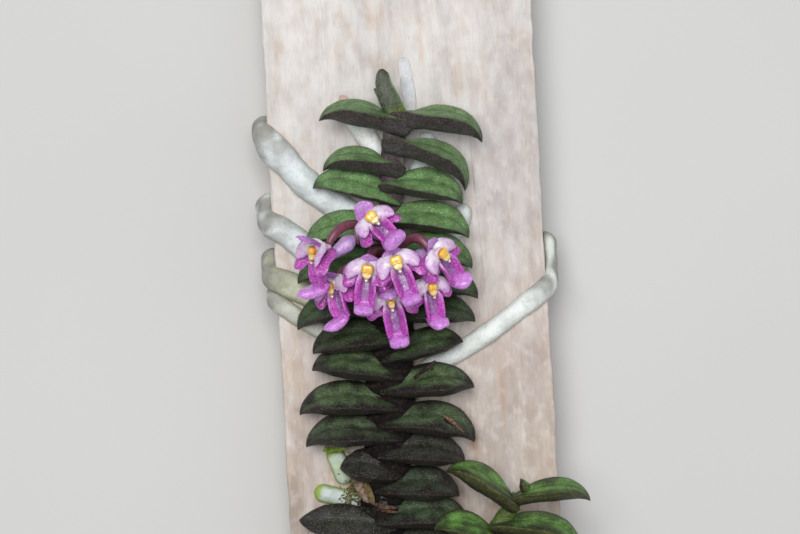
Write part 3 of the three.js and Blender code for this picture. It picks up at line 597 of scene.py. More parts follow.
# Leaves: rank (-1 left, 1 right), foot on the stem, tip x, tip y, roll, arch, half width, lift and
# clasp, from the tip of the shoot down.
mainShootLook = {
    "seeds": (201, 300),
    "axis": [
        [-5.2, -37.4, 9.9],
        [-4.6, -24, 9.9],
        [-3.3, -13, 9.9],
        [-2.2, 2, 9.9],
        [-1.7, 14, 10],
        [-0.7, 22.6, 10.6],
    ],
    "radius": 1.5,
    "tipRadius": 1.3,
    "broad": 0.5,
    "leafRows": 44,
    "leafColumns": 40,
    # between these heights of the foot the leaves begin to turn over by so much, and to widen there
    "wrap": (10.0, 17.0, 42.0, 0.18),
    "leaves": [
        (-1, 22.2, -1.75, 27.3, -52, -0.1, 1.32, 1.0, 0.1),
        (1, 22.4, -2.9, 25.4, -8, -0.05, 0.9, 0.0, 0.6),
        (1, 21.7, 8.4, 18.9, 20, 0.17, 2.3, 0.9, 0.7),
        (-1, 20.5, -9.0, 22.2, 20, 0.15, 2.25, 0.9, 1.6),
        (1, 19.2, 6.3, 13.8, 22, 0.21, 2.25, 0.6, 1.2),
        (-1, 16.1, -8.9, 16.8, 24, 0.17, 2.05, 0.5, 1.2),
        (1, 14.8, 5.9, 12.4, 40, 0.14, 2.15, 0.3, 1.3),
        (-1, 12.8, -10.1, 15.0, 50, 0.13, 1.95, 0.1, 1.0),
        (1, 11.2, 6.4, 8.7, 42, 0.14, 2.15, 0.1, 1.4),
        (-1, 9.3, -11.2, 8.8, 42, 0.14, 2.25, 0, 1.5),
        (1, 7.7, 6.6, 5.4, 43, 0.13, 2.2, 0, 1.5),
        (-1, 5.8, -12.3, 4.8, 40, 0.13, 2.3, 0, 1.5),
        (1, 4.2, 7.0, 2.1, 44, 0.13, 2.2, 0, 1.5),
        (-1, 2.2, -12.6, -0.2, 39, 0.12, 2.35, 0, 1.5),
        (1, 0.7, 6.6, -0.4, 42, 0.11, 2.2, 0, 1.5),
        (-1, -1.8, -11.1, -2.9, 39, 0.11, 2.4, 0, 1.5),
        (1, -4.0, 5.2, -2.5, 42, 0.07, 2.0, 0, 1.5),
        (-1, -6.0, -11.3, -4.7, 38, 0.11, 2.5, 0, 1.5),
        (1, -7.3, 6.1, -7.5, 38, 0.08, 2.4, 0, 1.5),
        (-1, -9.3, -12.9, -9.4, 38, 0.12, 2.4, 0, 1.5),
        (1, -10.9, 5.8, -13.4, 38, 0.15, 2.4, 0, 1.5),
        (-1, -12.5, -12.4, -12.9, 38, 0.12, 2.4, 0, 1.5),
        (1, -14.2, 4.6, -15.8, 38, 0.12, 2.4, 0, 1.5),
        (-1, -16.5, -8.9, -15.4, 39, 0.06, 2.3, 0, 1.5),
        (1, -18.0, 3.8, -19.2, 38, 0.11, 2.4, 0, 1.5),
        (-1, -21.8, -13.6, -20.7, 52, -0.02, 2.2, 0, 1.5),
        (1, -21.4, 4.6, -22.0, 39, 0.1, 2.4, 0, 1.5),
        (1, -24.7, 3.9, -25.6, 40, 0.1, 2.3, 0, 1.5),
        (-1, -25.4, -12.6, -26.2, 41, 0.1, 2.3, 0, 1.5),
        (1, -27.4, 3.2, -28.8, 53, 0.11, 1.8, 2, 1.5),
        (-1, -28.4, -11.8, -29.6, 55, 0.12, 1.75, 0, 1.5),
        (-1, -32.2, -10.6, -33.8, 51, 0.12, 1.6, 0, 1.5),
        (1, -33.8, 0.4, -36.6, 48, 0.1, 1.5, 0, 1.5),
    ],
    # the leaves' upper and under colours by the height of their foot; the darker greens at -1 and 3 are
    # painted shade on the leaves just below the flowers
    "upper": [
        (-34, shade(72, 66, 68)),
        (-25, shade(78, 80, 70)),
        (-21, shade(88, 106, 80)),
        (-17, shade(72, 80, 68)),
        (-12, shade(90, 106, 80)),
        (-8, shade(106, 130, 88)),
        (-5, shade(100, 124, 84)),
        (-1, shade(76, 92, 66)),
        (3, shade(80, 104, 70)),
        (9, shade(132, 176, 112)),
        (15, shade(136, 178, 116)),
        (22, shade(132, 168, 114)),
    ],
    "aged": (-14.2, -16.5, -21.8, -25.4, -28.4),
    "agedTint": shade(72, 67, 67),
    "under": [
        (-34, shade(50, 46, 47)),
        (-16, shade(50, 46, 45)),
        (-6, shade(54, 52, 48)),
        (6, shade(68, 65, 64)),
        (22, shade(92, 86, 88)),
    ],
    # the leaves' dark tone, also laid as painted shade on the old leaves' feet
    "dusk": shade(42, 36, 37),
    "margin": shade(56, 40, 35),
    # groove: painted shade along the middle crease
    "groove": shade(40, 48, 34),
    "beak": shade(46, 36, 37),
    "axil": shade(150, 168, 72),
    # stem: near-black, painted shade in the dark gaps between the leaf feet
    "stem": shade(17, 14, 14),
    "youngStem": shade(84, 64, 76),
    "dusting": shade(150, 144, 140),
    "cutEnd": shade(104, 84, 66),
    # sheath: near-black, mostly painted shade in the slots between the leaf feet
    "sheath": shade(27, 23, 22),
    "sheathRim": shade(54, 45, 41),
}
sideShootLook = {
    "seeds": (221, 700),
    "axis": [
        [-1.9, -31.8, 9.6],
        [1.6, -29.8, 10.2],
        [5.4, -25.6, 11.2],
        [8.3, -21.8, 12.2],
        [10.1, -19.3, 12.8],
    ],
    "radius": 1.15,
    "tipRadius": 0.8,
    "broad": 0.0,
    "leafRows": 40,
    "leafColumns": 40,
    "wrap": (-34.0, -30.0, 22.0, 0.1),
    "leaves": [
        (-1, -19.4, 10.5, -17.4, 20, 0.05, 0.85, 0.2, 1.1),
        (1, -19.9, 17.8, -20.2, 22, 0.15, 1.85, 0.2, 0.9),
        (-1, -20.8, 2.5, -16.2, 22, 0.14, 2.15, 0.4, 0.9),
        (1, -22.6, 16.4, -25.6, 30, 0.17, 1.9, 0, 1.1),
        (-1, -23.9, 0.9, -22.4, 38, 0.15, 1.8, 1.6, 1.1),
        (1, -26.2, 13.0, -30.4, 38, 0.17, 1.75, 0, 1.1),
    ],
    "upper": [(-32, shade(104, 156, 68)), (-19, shade(122, 170, 86))],
    "aged": (),
    "under": [(-32, shade(46, 48, 34)), (-19, shade(54, 54, 42))],
    # the leaves' dark tone, also laid as painted shade on the old leaves' feet
    "dusk": shade(56, 70, 42),
    "margin": shade(112, 112, 50),
    # groove: painted shade along the middle crease
    "groove": shade(58, 84, 36),
    "beak": shade(70, 62, 44),
    "axil": shade(132, 168, 62),
    "stem": shade(96, 116, 54),
    "youngStem": shade(84, 64, 76),
    "dusting": shade(150, 144, 140),
    "cutEnd": shade(104, 84, 66),
}
leafShape = {
    "lift": (0.7, 1.5, 1.4, 0.7),  # foot, shoulder, bend and tip above the stem's centre line
    # shoulder and bend: how far along the chord, share of the arch's rise, share of the leaf's lift
    "shoulder": (0.3, 0.35, 0.6),
    "bend": (0.85, 0.65, 1.0),
    "archScale": 2.667,  # a bezier's middle rises 3/8 of what its two inner points do
    "crown": (0.25, 0.14, 0.6),  # height at the fold, what is gained, and how far out
    "marginDrop": 0.07,
    "keel": (0.32, 1.02),
    # half widths along the leaf, and along the two leaves still closed at the tip
    "outline": [
        (0, 0.1),
        (0.03, 0.36),
        (0.09, 0.52),
        (0.23, 0.74),
        (0.4, 0.94),
        (0.54, 1),
        (0.68, 0.88),
        (0.8, 0.62),
        (0.9, 0.35),
        (0.97, 0.13),
        (1, 0.02),
    ],
    "budOutline": [
        (0, 0.6),
        (0.06, 0.95),
        (0.25, 1),
        (0.55, 0.86),
        (0.8, 0.68),
        (0.93, 0.5),
        (0.98, 0.3),
        (1, 0.1),
    ],
}


def colourAt(stops, at):
    # the colour at a place between two stops, mixed in proportion
    places = [p for p, _ in stops]
    return np.array([np.interp(at, places, [c[k] for _, c in stops]) for k in range(3)])


def stemAt(axis, y):
    # where the stem's curve crosses the height y, by linear reading of a dense sampling
    line, _ = through(axis, np.linspace(0, 1, 2000))
    return np.array([np.interp(y, line[:, 1], line[:, k]) for k in range(3)])


def leafSkin(look, row, seed):
    # Centre line: the cubic bezier foot, shoulder, bend, tip. Across it q = cos a runs from margin
    # to margin. Upper side: n = 0.25 + 0.14 sin(pi/2 (|q|/0.6)^0.8) up to the crown of each half,
    # then 0.39 - 0.07 of the rest squared down to the margin. Under side: n = 0.32 - 1.02 (1 - q^2)^0.75.
    # A point is centre + front q w + normal n w, where w is the half width there. The upper feet
    # wrap the stem: there the section turns over by up to the wrap's angle and stays wider.
    rank, foot, tipX, tipY, roll, arch, half, lift, clasp = row
    axis = stemAt(look["axis"], foot)
    up = leafShape["lift"]
    start = np.array([axis[0] - rank * clasp, foot, axis[2] + up[0]])
    end = np.array([tipX, tipY, axis[2] + up[3] + lift])
    chord = end - start
    rise = np.array([-chord[1], chord[0], 0]) * rank * arch * leafShape["archScale"]
    line = [start]
    for name, height in (("shoulder", up[1]), ("bend", up[2])):
        at, risen, lifted = leafShape[name]
        line.append(start + at * chord + risen * rise)
        line[-1][2] = axis[2] + height + lifted * lift
    line.append(end)
    rows, columns = look["leafRows"], look["leafColumns"]
    s = np.sin(np.linspace(0, np.pi / 2, rows)) ** 1.15
    a = circle(columns)
    centre, along = bezier(line, s)
    towards, _ = sidesOf(along, (0, 0, 1))
    above = np.cross(towards, along) * rank
    low, high, over, wider = look["wrap"]
    wrap = float(ease((foot - low) / (high - low))) * (roll > 0) * (1 - ease(s / 0.42))
    turn = np.radians(roll - over * wrap)[:, None]
    normal = above * np.cos(turn) + towards * np.sin(turn)
    front = towards * np.cos(turn) - above * np.sin(turn)
    q, upper = np.cos(a), np.sin(a) >= 0
    reach = np.abs(q)
    fold, gain, crest = leafShape["crown"]
    crown = fold + gain * np.sin(np.pi / 2 * np.minimum(reach / crest, 1) ** 0.8)
    crown = crown - leafShape["marginDrop"] * (np.maximum(reach - crest, 0) / (1 - crest)) ** 2
    rim, deep = leafShape["keel"]
    keel = rim - deep * np.maximum(1 - q * q, 0) ** 0.75
    n = np.where(upper, crown, keel)
    outline = leafShape["budOutline" if roll < -40 else "outline"]
    width = (half * (read(outline, s) + wider * wrap))[:, None, None]
    front, normal = front[:, None], normal[:, None]
    grid = centre[:, None] + front * (q[None, :, None] * width) + normal * (n[None, :, None] * width)
    bulge = np.where(upper, 1.0, -1.0) * (1.05 - reach)
    out = unit(front * (q * 0.6)[None, :, None] + normal * bulge[None, :, None])
    swell = 0.06 * waves(grid, 2.6, seed) + 0.03 * waves(grid, 0.9, seed + 1)
    grid = grid + out * (swell * np.minimum(width[..., 0], 1))[..., None]

    sGrid = s[:, None] + 0 * q[None]
    green, dark = colourAt(look["upper"], foot), colourAt(look["under"], foot)
    aged = foot in look["aged"]
    upper = upper[None]
    patch = 0.5 + 0.5 * waves(grid, 3.0, seed + 2)
    tint = np.where(upper[..., None], green, dark) * np.ones(grid.shape)
    if aged:
        tint = mixed(tint, look["agedTint"], upper * (0.6 + 0.4 * ease(1.4 - 1.8 * patch)))
    old = float(ease((6 - foot) / 14))
    # darker in patches, towards the margins and towards the tip, which is the leaf's own colour, and on the
    # old leaves' feet, which is painted shade in the dark gaps round the stem
    darkeningAndShade = 0.8 * ease(1.5 * patch - 0.55) + 0.85 * ease((reach - 0.5) / 0.45)[None]
    darkeningAndShade = darkeningAndShade + 0.8 * ease((sGrid - 0.62) / 0.38) * (0.6 + 0.5 * patch)
    darkeningAndShade = darkeningAndShade + 0.9 * old * ease((0.3 - sGrid) / 0.25)
    # the groove weight lays painted shade along the middle crease of the upper side
    tint = glazed(
        tint,
        look,
        dusk=upper * (0.25 + 0.75 * old) * darkeningAndShade,
        groove=0.38 * upper * hill(q, 0, 0.05)[None] * ease(sGrid / 0.12),
        margin=0.65 * hill(reach, 1.0, 0.06)[None] * ease(0.25 + patch),
    )
    tint = mixed(tint, look["margin"], 0.4 * ~upper * hill(reach, 0.86, 0.09)[None])
    closedLeaf = roll < 0  # the two at the tip show their backs, with one green margin
    greenish = np.maximum(0.22 * (0.4 + patch), 0.8 * ease((q - 0.88) / 0.12)[None])
    tint = mixed(tint, green, closedLeaf * ~upper * greenish)
    tint = glazed(
        tint,
        look,
        beak=0.8 * ease((sGrid - 0.8) / 0.2),
        axil=0.8 * hill(sGrid, 0.1, 0.1) * ease((foot - 19) / 2) * (closedLeaf | upper),
        dusk=upper * (0.12 + 0.4 * old) * ease(1.6 * waves(grid, 1.3, seed + 3) - 0.2),
    )
    dots = np.where(upper & (not aged), 0.45, 1.0) * (0.5 + 0.5 * patch)
    return closedSkin(grid, tint, dots * ease((1.02 - sGrid) / 0.12))


stemShape = {
    "rows": 160,
    "columns": 40,
    "inset": 0.94,  # the leaf bases stand on the rest of the radius
    # where along the stem it begins to broaden and to narrow, and over what length
    "broadens": (0.08, 0.17),
    "narrows": (0.64, 0.12),
}


def stemSkin(look, seed):
    # radius = lerp(radius, tipRadius, t^3), times 1 + broad h(t) across the wood, where h rises by
    # t 0.25 and falls from t 0.64; the skin wanders by slow waves, for the clasping leaf bases
    t = np.linspace(0, 1, stemShape["rows"])
    a = circle(stemShape["columns"])
    centre, along = through(look["axis"], t)
    up, across = sidesOf(along, (0, 0, 1))
    radius = stemShape["inset"] * (look["radius"] + (look["tipRadius"] - look["radius"]) * t**3)
    (first, rising), (last, falling) = stemShape["broadens"], stemShape["narrows"]
    broad = 1 + look["broad"] * ease((t - first) / rising) * (1 - ease((t - last) / falling))
    wide = np.sin(a)[None] * broad[:, None]
    spokes = spokesOf(up, across, wide, np.cos(a)[None])
    grid = centre[:, None] + spokes * radius[:, None, None]
    old = ease((8 - grid[..., 1]) / 6)
    swell = 0.06 * waves(grid, 2.2, seed) + 0.05 * old * waves(grid, 0.9, seed + 1)
    grid = grid + spokes * (radius[:, None] * swell)[..., None]
    pale = 0.7 * ease(1.8 * waves(grid, 3.1, seed + 3) - 0.3) * (1 - old)
    # low down the old colour, which on the main shoot is near-black painted shade between the leaf feet;
    # higher up the young colour with its pale dusting
    tint = mixed(mixed(look["youngStem"], look["stem"], old), look["dusting"], pale)
    tint = mixed(tint, look["cutEnd"], 0.9 * ease((0.012 - t) / 0.012)[:, None] * np.ones(len(a)))
    return closedSkin(grid, tint, 0.6 * (1 - old))


def sheathSkins(look, seed):
    # round the stem, below each old leaf, a ragged collar: the stem's own section times
    # 1 + 0.13 v^2 from its foot (v = 0) to its rim (v = 1), leaning with the leaf's rank, and 1.22
    # times as wide on the left
    rng = np.random.default_rng(seed)
    skins = []
    a = circle(36)
    v = np.linspace(0, 1, 12)[:, None]
    for rank, foot in [row[:2] for row in look["leaves"] if row[1] < 9]:
        centre = np.array([stemAt(look["axis"], foot - 1.7 + 2.9 * k) for k in v[:, 0]])
        wide = 1 + look["broad"] * ease((foot + 31) / 6) * (1 - ease((foot - 2) / 7))
        ragged = 0.3 * waves(np.stack([3 * np.cos(a), 3 * np.sin(a)], -1), 1.7, rng.integers(999))
        ribs = 1 + 0.03 * np.cos(11 * a + rng.uniform(0, 6))
        size = look["radius"] * (1.0 + 0.13 * v**2) * ribs[None]
        x = centre[:, :1] + wide * size * (np.sin(a) * (1 + 0.22 * (np.sin(a) < 0)))[None]
        y = centre[:, 1:2] + v * ragged[None] + 0.5 * rank * np.sin(a)[None] * v
        grid = np.stack([x, y, centre[:, 2:] + 0.96 * size * np.cos(a)[None]], -1)
        rim = 0.8 * ease((v - 0.75) / 0.25) * ease(0.6 + waves(grid, 1.1, 31))
        # the near-black tint and the extra width on the left are mostly painted shade, dark sheets in the
        # shaded slots between the leaf feet; the paler ragged rim is the sheaths' own
        skins.append(closedSkin(grid, mixed(look["sheath"], look["sheathRim"], rim)))
    return skins


def scarSkins():
    # the dry slit on one right-hand leaf: a papery lip each side of a dark line laid on the leaf's
    # face, each a lens in section, width times sin(pi s), along a bowed line
    skins = []
    for line, wide, colour in (
        ([[2.5, -10.2, 12.6], [3.3, -10.6, 12.7], [4.7, -12.2, 12.3]], 0.22, shade(132, 108, 90)),
        ([[2.6, -10.6, 12.6], [3.3, -11.1, 12.6], [4.5, -12.4, 12.2]], 0.24, shade(44, 30, 28)),
    ):
        s = np.linspace(0, 1, 26)
        a = circle(12)
        centre, along = bezier(line, s)
        up, across = sidesOf(along, (0, 0.3, 1))
        size = wide * np.sin(np.pi * (0.04 + 0.92 * s)) * (1 + 0.2 * np.sin(17 * s))
        ring = spokesOf(0.4 * up, across, np.cos(a)[None], np.sin(a)[None])
        skins.append(closedSkin(centre[:, None] + ring * size[:, None, None], colour))
    return skins


def shootSkins(look):
    # the stem, then each leaf with a seed of its own
    stem, first = look["seeds"]
    leaves = enumerate(look["leaves"])
    return [stemSkin(look, stem)] + [leafSkin(look, row, first + 7 * k) for k, row in leaves]


makePiece("main_shoot_dressed", shootSkins(mainShootLook), "leaf_skin", ["main_shoot"])
makePiece("side_shoot_dressed", shootSkins(sideShootLook), "young_leaf_skin", ["side_shoot"])

# Routes are unrolled over the slat, as the roots follow its face and then its edge.
rootLook = {
    "height": 1.05,
    "bend": 1.2,
    "sunk": 0.2,
    "step": 0.26,
    "columns": 34,
    "chalk": shade(228, 234, 236),
    "worn": shade(158, 156, 150),
    # the sides' greyer colour, painted shade, also laid in blotches
    "darkeningAndShade": shade(200, 208, 202),
    "wornFrom": (11.8, 3.8),  # how far out they begin to look worn, and over what width
    # a root that thins towards its tip: share, how far back it begins, over what length
    "thinned": {"root_upper_left": (0.45, 3.6, 2.6)},
    "flattened": {"root_tip_trace": 0.3},
    # each root's half width and its route
    "roots": {
        "root_left_1": (
            1.6,
            [[-4.6, 10.6], [-7.4, 12.8], [-11, 15.8], [-13.6, 19], [-15.6, 21.2], [-18.6, 22.4]],
        ),
        "root_left_2": (1.5, [[-7.4, 5.6], [-10.9, 8.3], [-13.6, 10.6], [-16, 12], [-18.2, 14.6]]),
        "root_left_3": (1.35, [[-7.9, 1.2], [-11.2, 3.4], [-13.8, 5], [-16, 6], [-18.2, 8.6]]),
        "root_left_4": (0.95, [[-9.4, -0.9], [-12.3, 0.9], [-14.2, 2.4], [-16.4, 3.8], [-19, 4.2]]),
        "root_right_1": (
            1.1,
            [[0.2, -5.6], [4.3, -3.8], [8.2, -1.6], [11.6, 0.7], [15, 3.2], [17, 5.4], [17.6, 9]],
        ),
        "root_upper_left": (1.2, [[-2.5, 17.6], [-3.8, 20.0], [-5.3, 22.6], [-6.6, 25.1]]),
        "root_upper_right": (1.05, [[0.9, 15.6], [1.7, 17.2], [2.4, 19.2], [2.9, 20.5]]),
        "root_right_2": (1.0, [[2.2, 8.6], [4.5, 9.1], [5.8, 10.6], [6, 12.6]]),
        "root_tip_trace": (0.7, [[0.7, 21.9], [0.9, 23.6], [0.7, 26.2], [0.4, 28.9]]),
        "root_low_left_1": (1.05, [[-8.2, -17.3], [-8.7, -16.1], [-9.1, -14.8], [-9.9, -13.3]]),
        "root_low_left_2": (0.95, [[-6.6, -19.4], [-8.9, -18.8], [-11.9, -17.9]]),
        "root_base_left": (1.15, [[-7.3, -31.5], [-10.4, -31], [-13.6, -32.2], [-16.2, -34], [-18.4, -36.2]]),
        "root_base_right": (
            1.2,
            [[-2.9, -34.6], [2.6, -34.2], [8.2, -32.6], [13, -31.6], [16.2, -30.2], [19, -29.4]],
        ),
    },
    # a root's own cast: skin, flanks, tip; root_upper_left's skin and flanks are near white, painted light
    # against the shadow of the leaf above it
    "casts": {
        "root_left_3": (shade(212, 214, 190), shade(176, 180, 140), None),
        "root_left_4": (shade(214, 216, 206), shade(180, 184, 158), None),
        "root_low_left_1": (shade(206, 220, 204), shade(158, 176, 112), shade(132, 156, 70)),
        "root_low_left_2": (shade(204, 214, 212), shade(150, 172, 84), shade(150, 176, 78)),
        "root_upper_left": (shade(250, 253, 251), shade(232, 240, 232), shade(206, 172, 164)),
        "root_tip_trace": (shade(214, 216, 222), shade(216, 213, 212), shade(216, 216, 220)),
        "root_right_1": (shade(238, 242, 240), shade(216, 220, 212), None),
    },
}


def routeOver(route, step):
    # uniform Catmull-Rom with its end points doubled, read at even steps of its own length
    p = np.asarray(route, float)
    p = np.vstack([p[:1], p, p[-1:]])
    t = np.linspace(0, len(route) - 1, 1200)
    i = np.minimum(t.astype(int), len(route) - 2)
    w = (t - i)[:, None]
    p0, p1, p2, p3 = (p[i + k] for k in range(4))
    curve = (2 * p0 - 5 * p1 + 4 * p2 - p3) * w**2 + (3 * p1 - p0 - 3 * p2 + p3) * w**3
    line = 0.5 * (2 * p1 + (p2 - p0) * w + curve)
    run = np.concatenate([[0], np.cumsum(np.linalg.norm(np.diff(line, axis=0), axis=1))])
    at = np.linspace(0, run[-1], max(12, round(run[-1] / step)))
    return np.stack([np.interp(at, run, line[:, k]) for k in range(2)], -1), at


def overSlat(x, y, lift):
    # on the face z = thickness + lift; round the edge a quarter turn of radius bend + lift; then
    # straight down the side at half the width + lift
    reach, sign = np.abs(x), np.sign(x)
    bend, w, t = rootLook["bend"], slatLook["width"] / 2, slatLook["thickness"]
    flat = w - bend
    turn = np.clip((reach - flat) / bend, 0, np.pi / 2)
    drop = np.maximum(reach - flat - bend * np.pi / 2, 0)
    outX = np.where(reach <= flat, x, sign * (flat + (bend + lift) * np.sin(turn)))
    outZ = np.where(reach <= flat, t + lift, t - bend + (bend + lift) * np.cos(turn) - drop)
    return np.stack([outX, y + 0 * x, outZ], -1)


def rootSkin(name, seed):
    # Across the route: an arch h sin a over q = w cos a, and a flat foot sunk into the wood. Both ends
    # round off by sqrt(1 - (1 - r / w)^2), and the thickness wanders by a slow wave.
    look = rootLook
    half, route = look["roots"][name]
    line, run = routeOver(route, look["step"])
    along = unit(np.gradient(line, axis=0))
    near = np.minimum(run, run[-1] - run) / half
    taper = np.sqrt(np.clip(1 - (1 - np.clip(near, 0.02, 1)) ** 2, 0, 1))
    arch = np.linspace(0, np.pi, look["columns"] - 6)
    q = np.concatenate([np.cos(arch), np.linspace(-1, 1, 8)[1:-1]])
    h = np.concatenate([np.sin(arch) ** 0.92, np.zeros(6)])
    stations = np.stack([run, 0 * run], -1)
    thick = half * taper * (1 + 0.07 * waves(stations, 5.5, seed) + 0.035 * waves(stations, 2.0, seed + 1))
    lean = 0.1 * waves(stations, 7.0, seed + 2)
    share, back, over = look["thinned"].get(name, (0.0, 0.0, 1.0))
    thick = thick * (1 - share * ease((run - run[-1] + back) / over))
    w = thick[:, None]
    x = line[:, :1] - q[None] * w * along[:, 1:]
    y = line[:, 1:] + q[None] * w * along[:, :1]
    flatness = look["flattened"].get(name, 1.0)
    lift = h[None] * w * look["height"] * flatness * (1 + lean[:, None] * q[None])
    lift = lift + (h[None] > 0) * 0.035 * waves(np.stack([x, y, lift], -1), 1.3, seed + 3)
    lift = np.where(h[None] > 0.02, lift, -look["sunk"])
    grid = overSlat(x, y, lift)
    skinTint, flank, tip = look["casts"].get(name, (look["chalk"], look["darkeningAndShade"], None))
    # towards the sides the flank colour, where the default grey is painted shade and the green ones are moss;
    # then blotches of it
    tint = mixed(skinTint, flank, 0.9 * ease((np.abs(q) - 0.55) / 0.45)[None] + 0 * x)
    tint = mixed(tint, flank, 0.55 * ease(1.4 * waves(grid, 3.4, seed + 4) - 0.25))
    inner, width = look["wornFrom"]
    outwards = ease((np.abs(line[:, :1]) - inner) / width)
    tint = mixed(tint, look["worn"], 0.95 * outwards * ease(0.9 + waves(grid, 2.4, seed + 5)))
    if tip is not None:
        tint = mixed(tint, tip, 0.95 * ease((run - run[-1] + 1.1) / 0.6)[:, None] + 0 * x)
    mossy = 1.0 if "low" in name else 0.25
    return closedSkin(grid, tint, mossy * ease(0.4 + waves(grid, 2.0, seed + 6)))


for k, name in enumerate(rootLook["roots"]):
    makePiece(name + "_dressed", [rootSkin(name, 900 + 11 * k)], "root_skin", [name])
print("slat, shoots and roots dressed")

bloomLook = {
    # place, yaw, pitch, roll, size, where the pedicel leaves the stalk, and how far the pedicel's
    # first and second bends rise
    "blooms": [
        ((-3.7, 10.9, 19.9), -4, -18, 42, 1.0, 0.3, 0.2, 0.1),
        ((-9.05, 8.15, 18.1), -62, 4, -14, 1.1, 0.42, 2.1, 1.4),
        ((-8.0, 4.5, 15.3), -36, 12, 8, 0.98, 0.6, 0.2, 0.1),
        ((-4.6, 5.9, 18.2), -2, 6, -9, 1.03, 0.55, 0.85, 0.35),
        ((-1.55, 6.5, 20.0), 2, 0, 18, 1.03, 0.68, 0.85, 0.35),
        ((2.65, 7.1, 18.4), 40, 2, 43, 1.0, 0.5, -1.3, 2.4),
        ((1.6, 3.75, 17.1), 24, 10, 13, 0.98, 0.8, 0.7, 0.3),
        ((-2.35, 2.8, 15.8), 0, 12, 8, 1.08, 0.86, 0.1, 0.05),
    ],
    # each flower's own build: lip length, lobe size, the lobe's length and its turn aside, the hood's
    # bow and its tip (up, out), how far petals and sepals cup forward and turn aside, and the spur's
    # rise
    "builds": [
        (0.72, 1.3, 1.0, 0.0, (1.5, 0.0), (2.47, 0.7), 0.0, 0.0),
        (0.95, 1.0, 1.7, -0.2, (1.6, 1.3), (1.75, 3.1), 1.0, 1.0),
        (1.0, 1.0, 1.4, -1.6, (0.98, 0.0), (1.6, 0.7), 0.5, 0.0),
        (1.0, 1.0, 1.0, 0.0, (1.0, 0.0), (1.67, 0.7), 0.0, 0.0),
        (1.0, 1.0, 1.0, 0.1, (1.0, 0.0), (1.67, 0.7), 0.0, 0.0),
        (1.0, 1.05, 1.1, 0.4, (1.27, 0.0), (2.09, 0.7), 0.0, 0.3),
        (1.0, 1.0, 1.1, 0.5, (0.98, 0.0), (1.6, 0.7), 0.0, 0.0),
        (1.1, 0.98, 1.0, 0.0, (2.19, 1.6), (0.36, 2.7), 0.0, 0.0),
    ],
    # place along, half width and half depth; the lobe's are for one of the usual size
    "lobeGirths": [(0.4, 1.06, 0.52), (0.75, 1.0, 0.55), (1, 0.84, 0.45)],
    "spurGirths": [(0, 0.5, 0.45), (0.35, 0.62, 0.58), (0.72, 0.88, 0.82), (1, 0.8, 0.74)],
    "columnGirths": [(0, 0.45, 0.45), (0.5, 0.6, 0.55), (1, 0.72, 0.62)],
    "thick": 0.3,
    "bladeRows": 26,
    "barRows": 28,
    "columns": 32,
    # the lip: where it begins, how long it is, its rim, its floor, and where the floor ends
    "lipTop": -0.2,
    "lipLength": 3.35,
    "rimThick": 0.24,
    "floorThick": 0.5,
    "floorEdge": 0.38,
    "white": shade(238, 233, 244),
    "petal": shade(216, 180, 218),
    "petalTip": shade(176, 110, 196),
    "petalEdge": shade(192, 84, 200),
    "magenta": shade(181, 45, 168),
    "deep": shade(164, 36, 154),
    "dorsal": shade(168, 88, 180),
    "dorsalTip": shade(190, 142, 212),
    "wall": shade(190, 54, 182),
    "rim": shade(204, 92, 200),
    "floor": shade(138, 88, 152),
    "lobe": shade(212, 140, 226),
    "lobeDeep": shade(198, 94, 200),
    "spur": shade(176, 130, 194),
    "spurTip": shade(198, 164, 218),
    "column": shade(232, 206, 224),
}
broadTip = [(0, 0.75), (0.3, 1), (0.62, 0.96), (0.86, 0.7), (1, 0.4)]
pointedTip = [(0, 0.6), (0.35, 1), (0.7, 0.88), (0.88, 0.62), (1, 0.3)]


def bladeSkin(line, half, cup, facing, outline, tones, seed, crimp=0.06, rounding=0.18):
    # q = cos a across a bowed line. The sheet lies at cup w q^2 + crimp (sin 5.5s q^4 + 0.6 sin 13s q^6).
    # Its faces stand half the thickness sin a (1 - 0.45 q^2) to each side, and its tip closes by
    # sqrt(1 - x^2). Its tones are those of its foot, its tip and its margin.
    s = np.sin(np.linspace(0, np.pi / 2, bloomLook["bladeRows"])) ** 0.9
    a = circle(bloomLook["columns"])
    q = np.cos(a)
    centre, along = bezier(line, s)
    up, across = sidesOf(along, facing)
    close = domed(s, rounding, 0.003)
    w = (half * read(outline, s) * close)[:, None]
    rng = np.random.default_rng(seed)
    phase = rng.uniform(0, 6.28, 3)
    side = np.sign(q)[None]
    s, q, reach = s[:, None], q[None], np.abs(q[None])
    waved = np.sin(5.5 * s + phase[0] + side * 1.4) * q**4 + 0.6 * np.sin(13 * s + phase[1] + side) * q**6
    w = w * (1 + crimp * 0.9 * np.sin(9 * s + phase[2] + side * 1.7) * reach * ease(s * 3))
    sheet = cup * w * q**2 + crimp * waved * np.minimum(1, w)
    thick = bloomLook["thick"] / 2 * np.minimum(1, 0.25 + 1.4 * w) * (1 - 0.45 * q**2) * np.sin(a)[None]
    grid = centre[:, None] + across[:, None] * (q * w)[..., None] + up[:, None] * (sheet + thick)[..., None]
    foot, tip, margin = tones
    veins = 0.5 + 0.5 * np.cos(q * 9)
    tint = mixed(foot, tip, ease(s * 1.5 - 0.4) + 0 * q)
    tint = mixed(tint, margin, 0.75 * ease((reach - 0.6) / 0.4) * ease(s * 1.8 - 0.3))
    tint = mixed(tint, margin, 0.16 * veins * s + 0.3 * ease(waves(grid, 1.2, seed) - 0.1) * ease(s * 1.3))
    # the speck, for the petal material, places painted glints, more towards the margins and the tip
    return closedSkin(grid, tint, 0.3 + 0.7 * ease(reach * 1.4 - 0.3) * s)


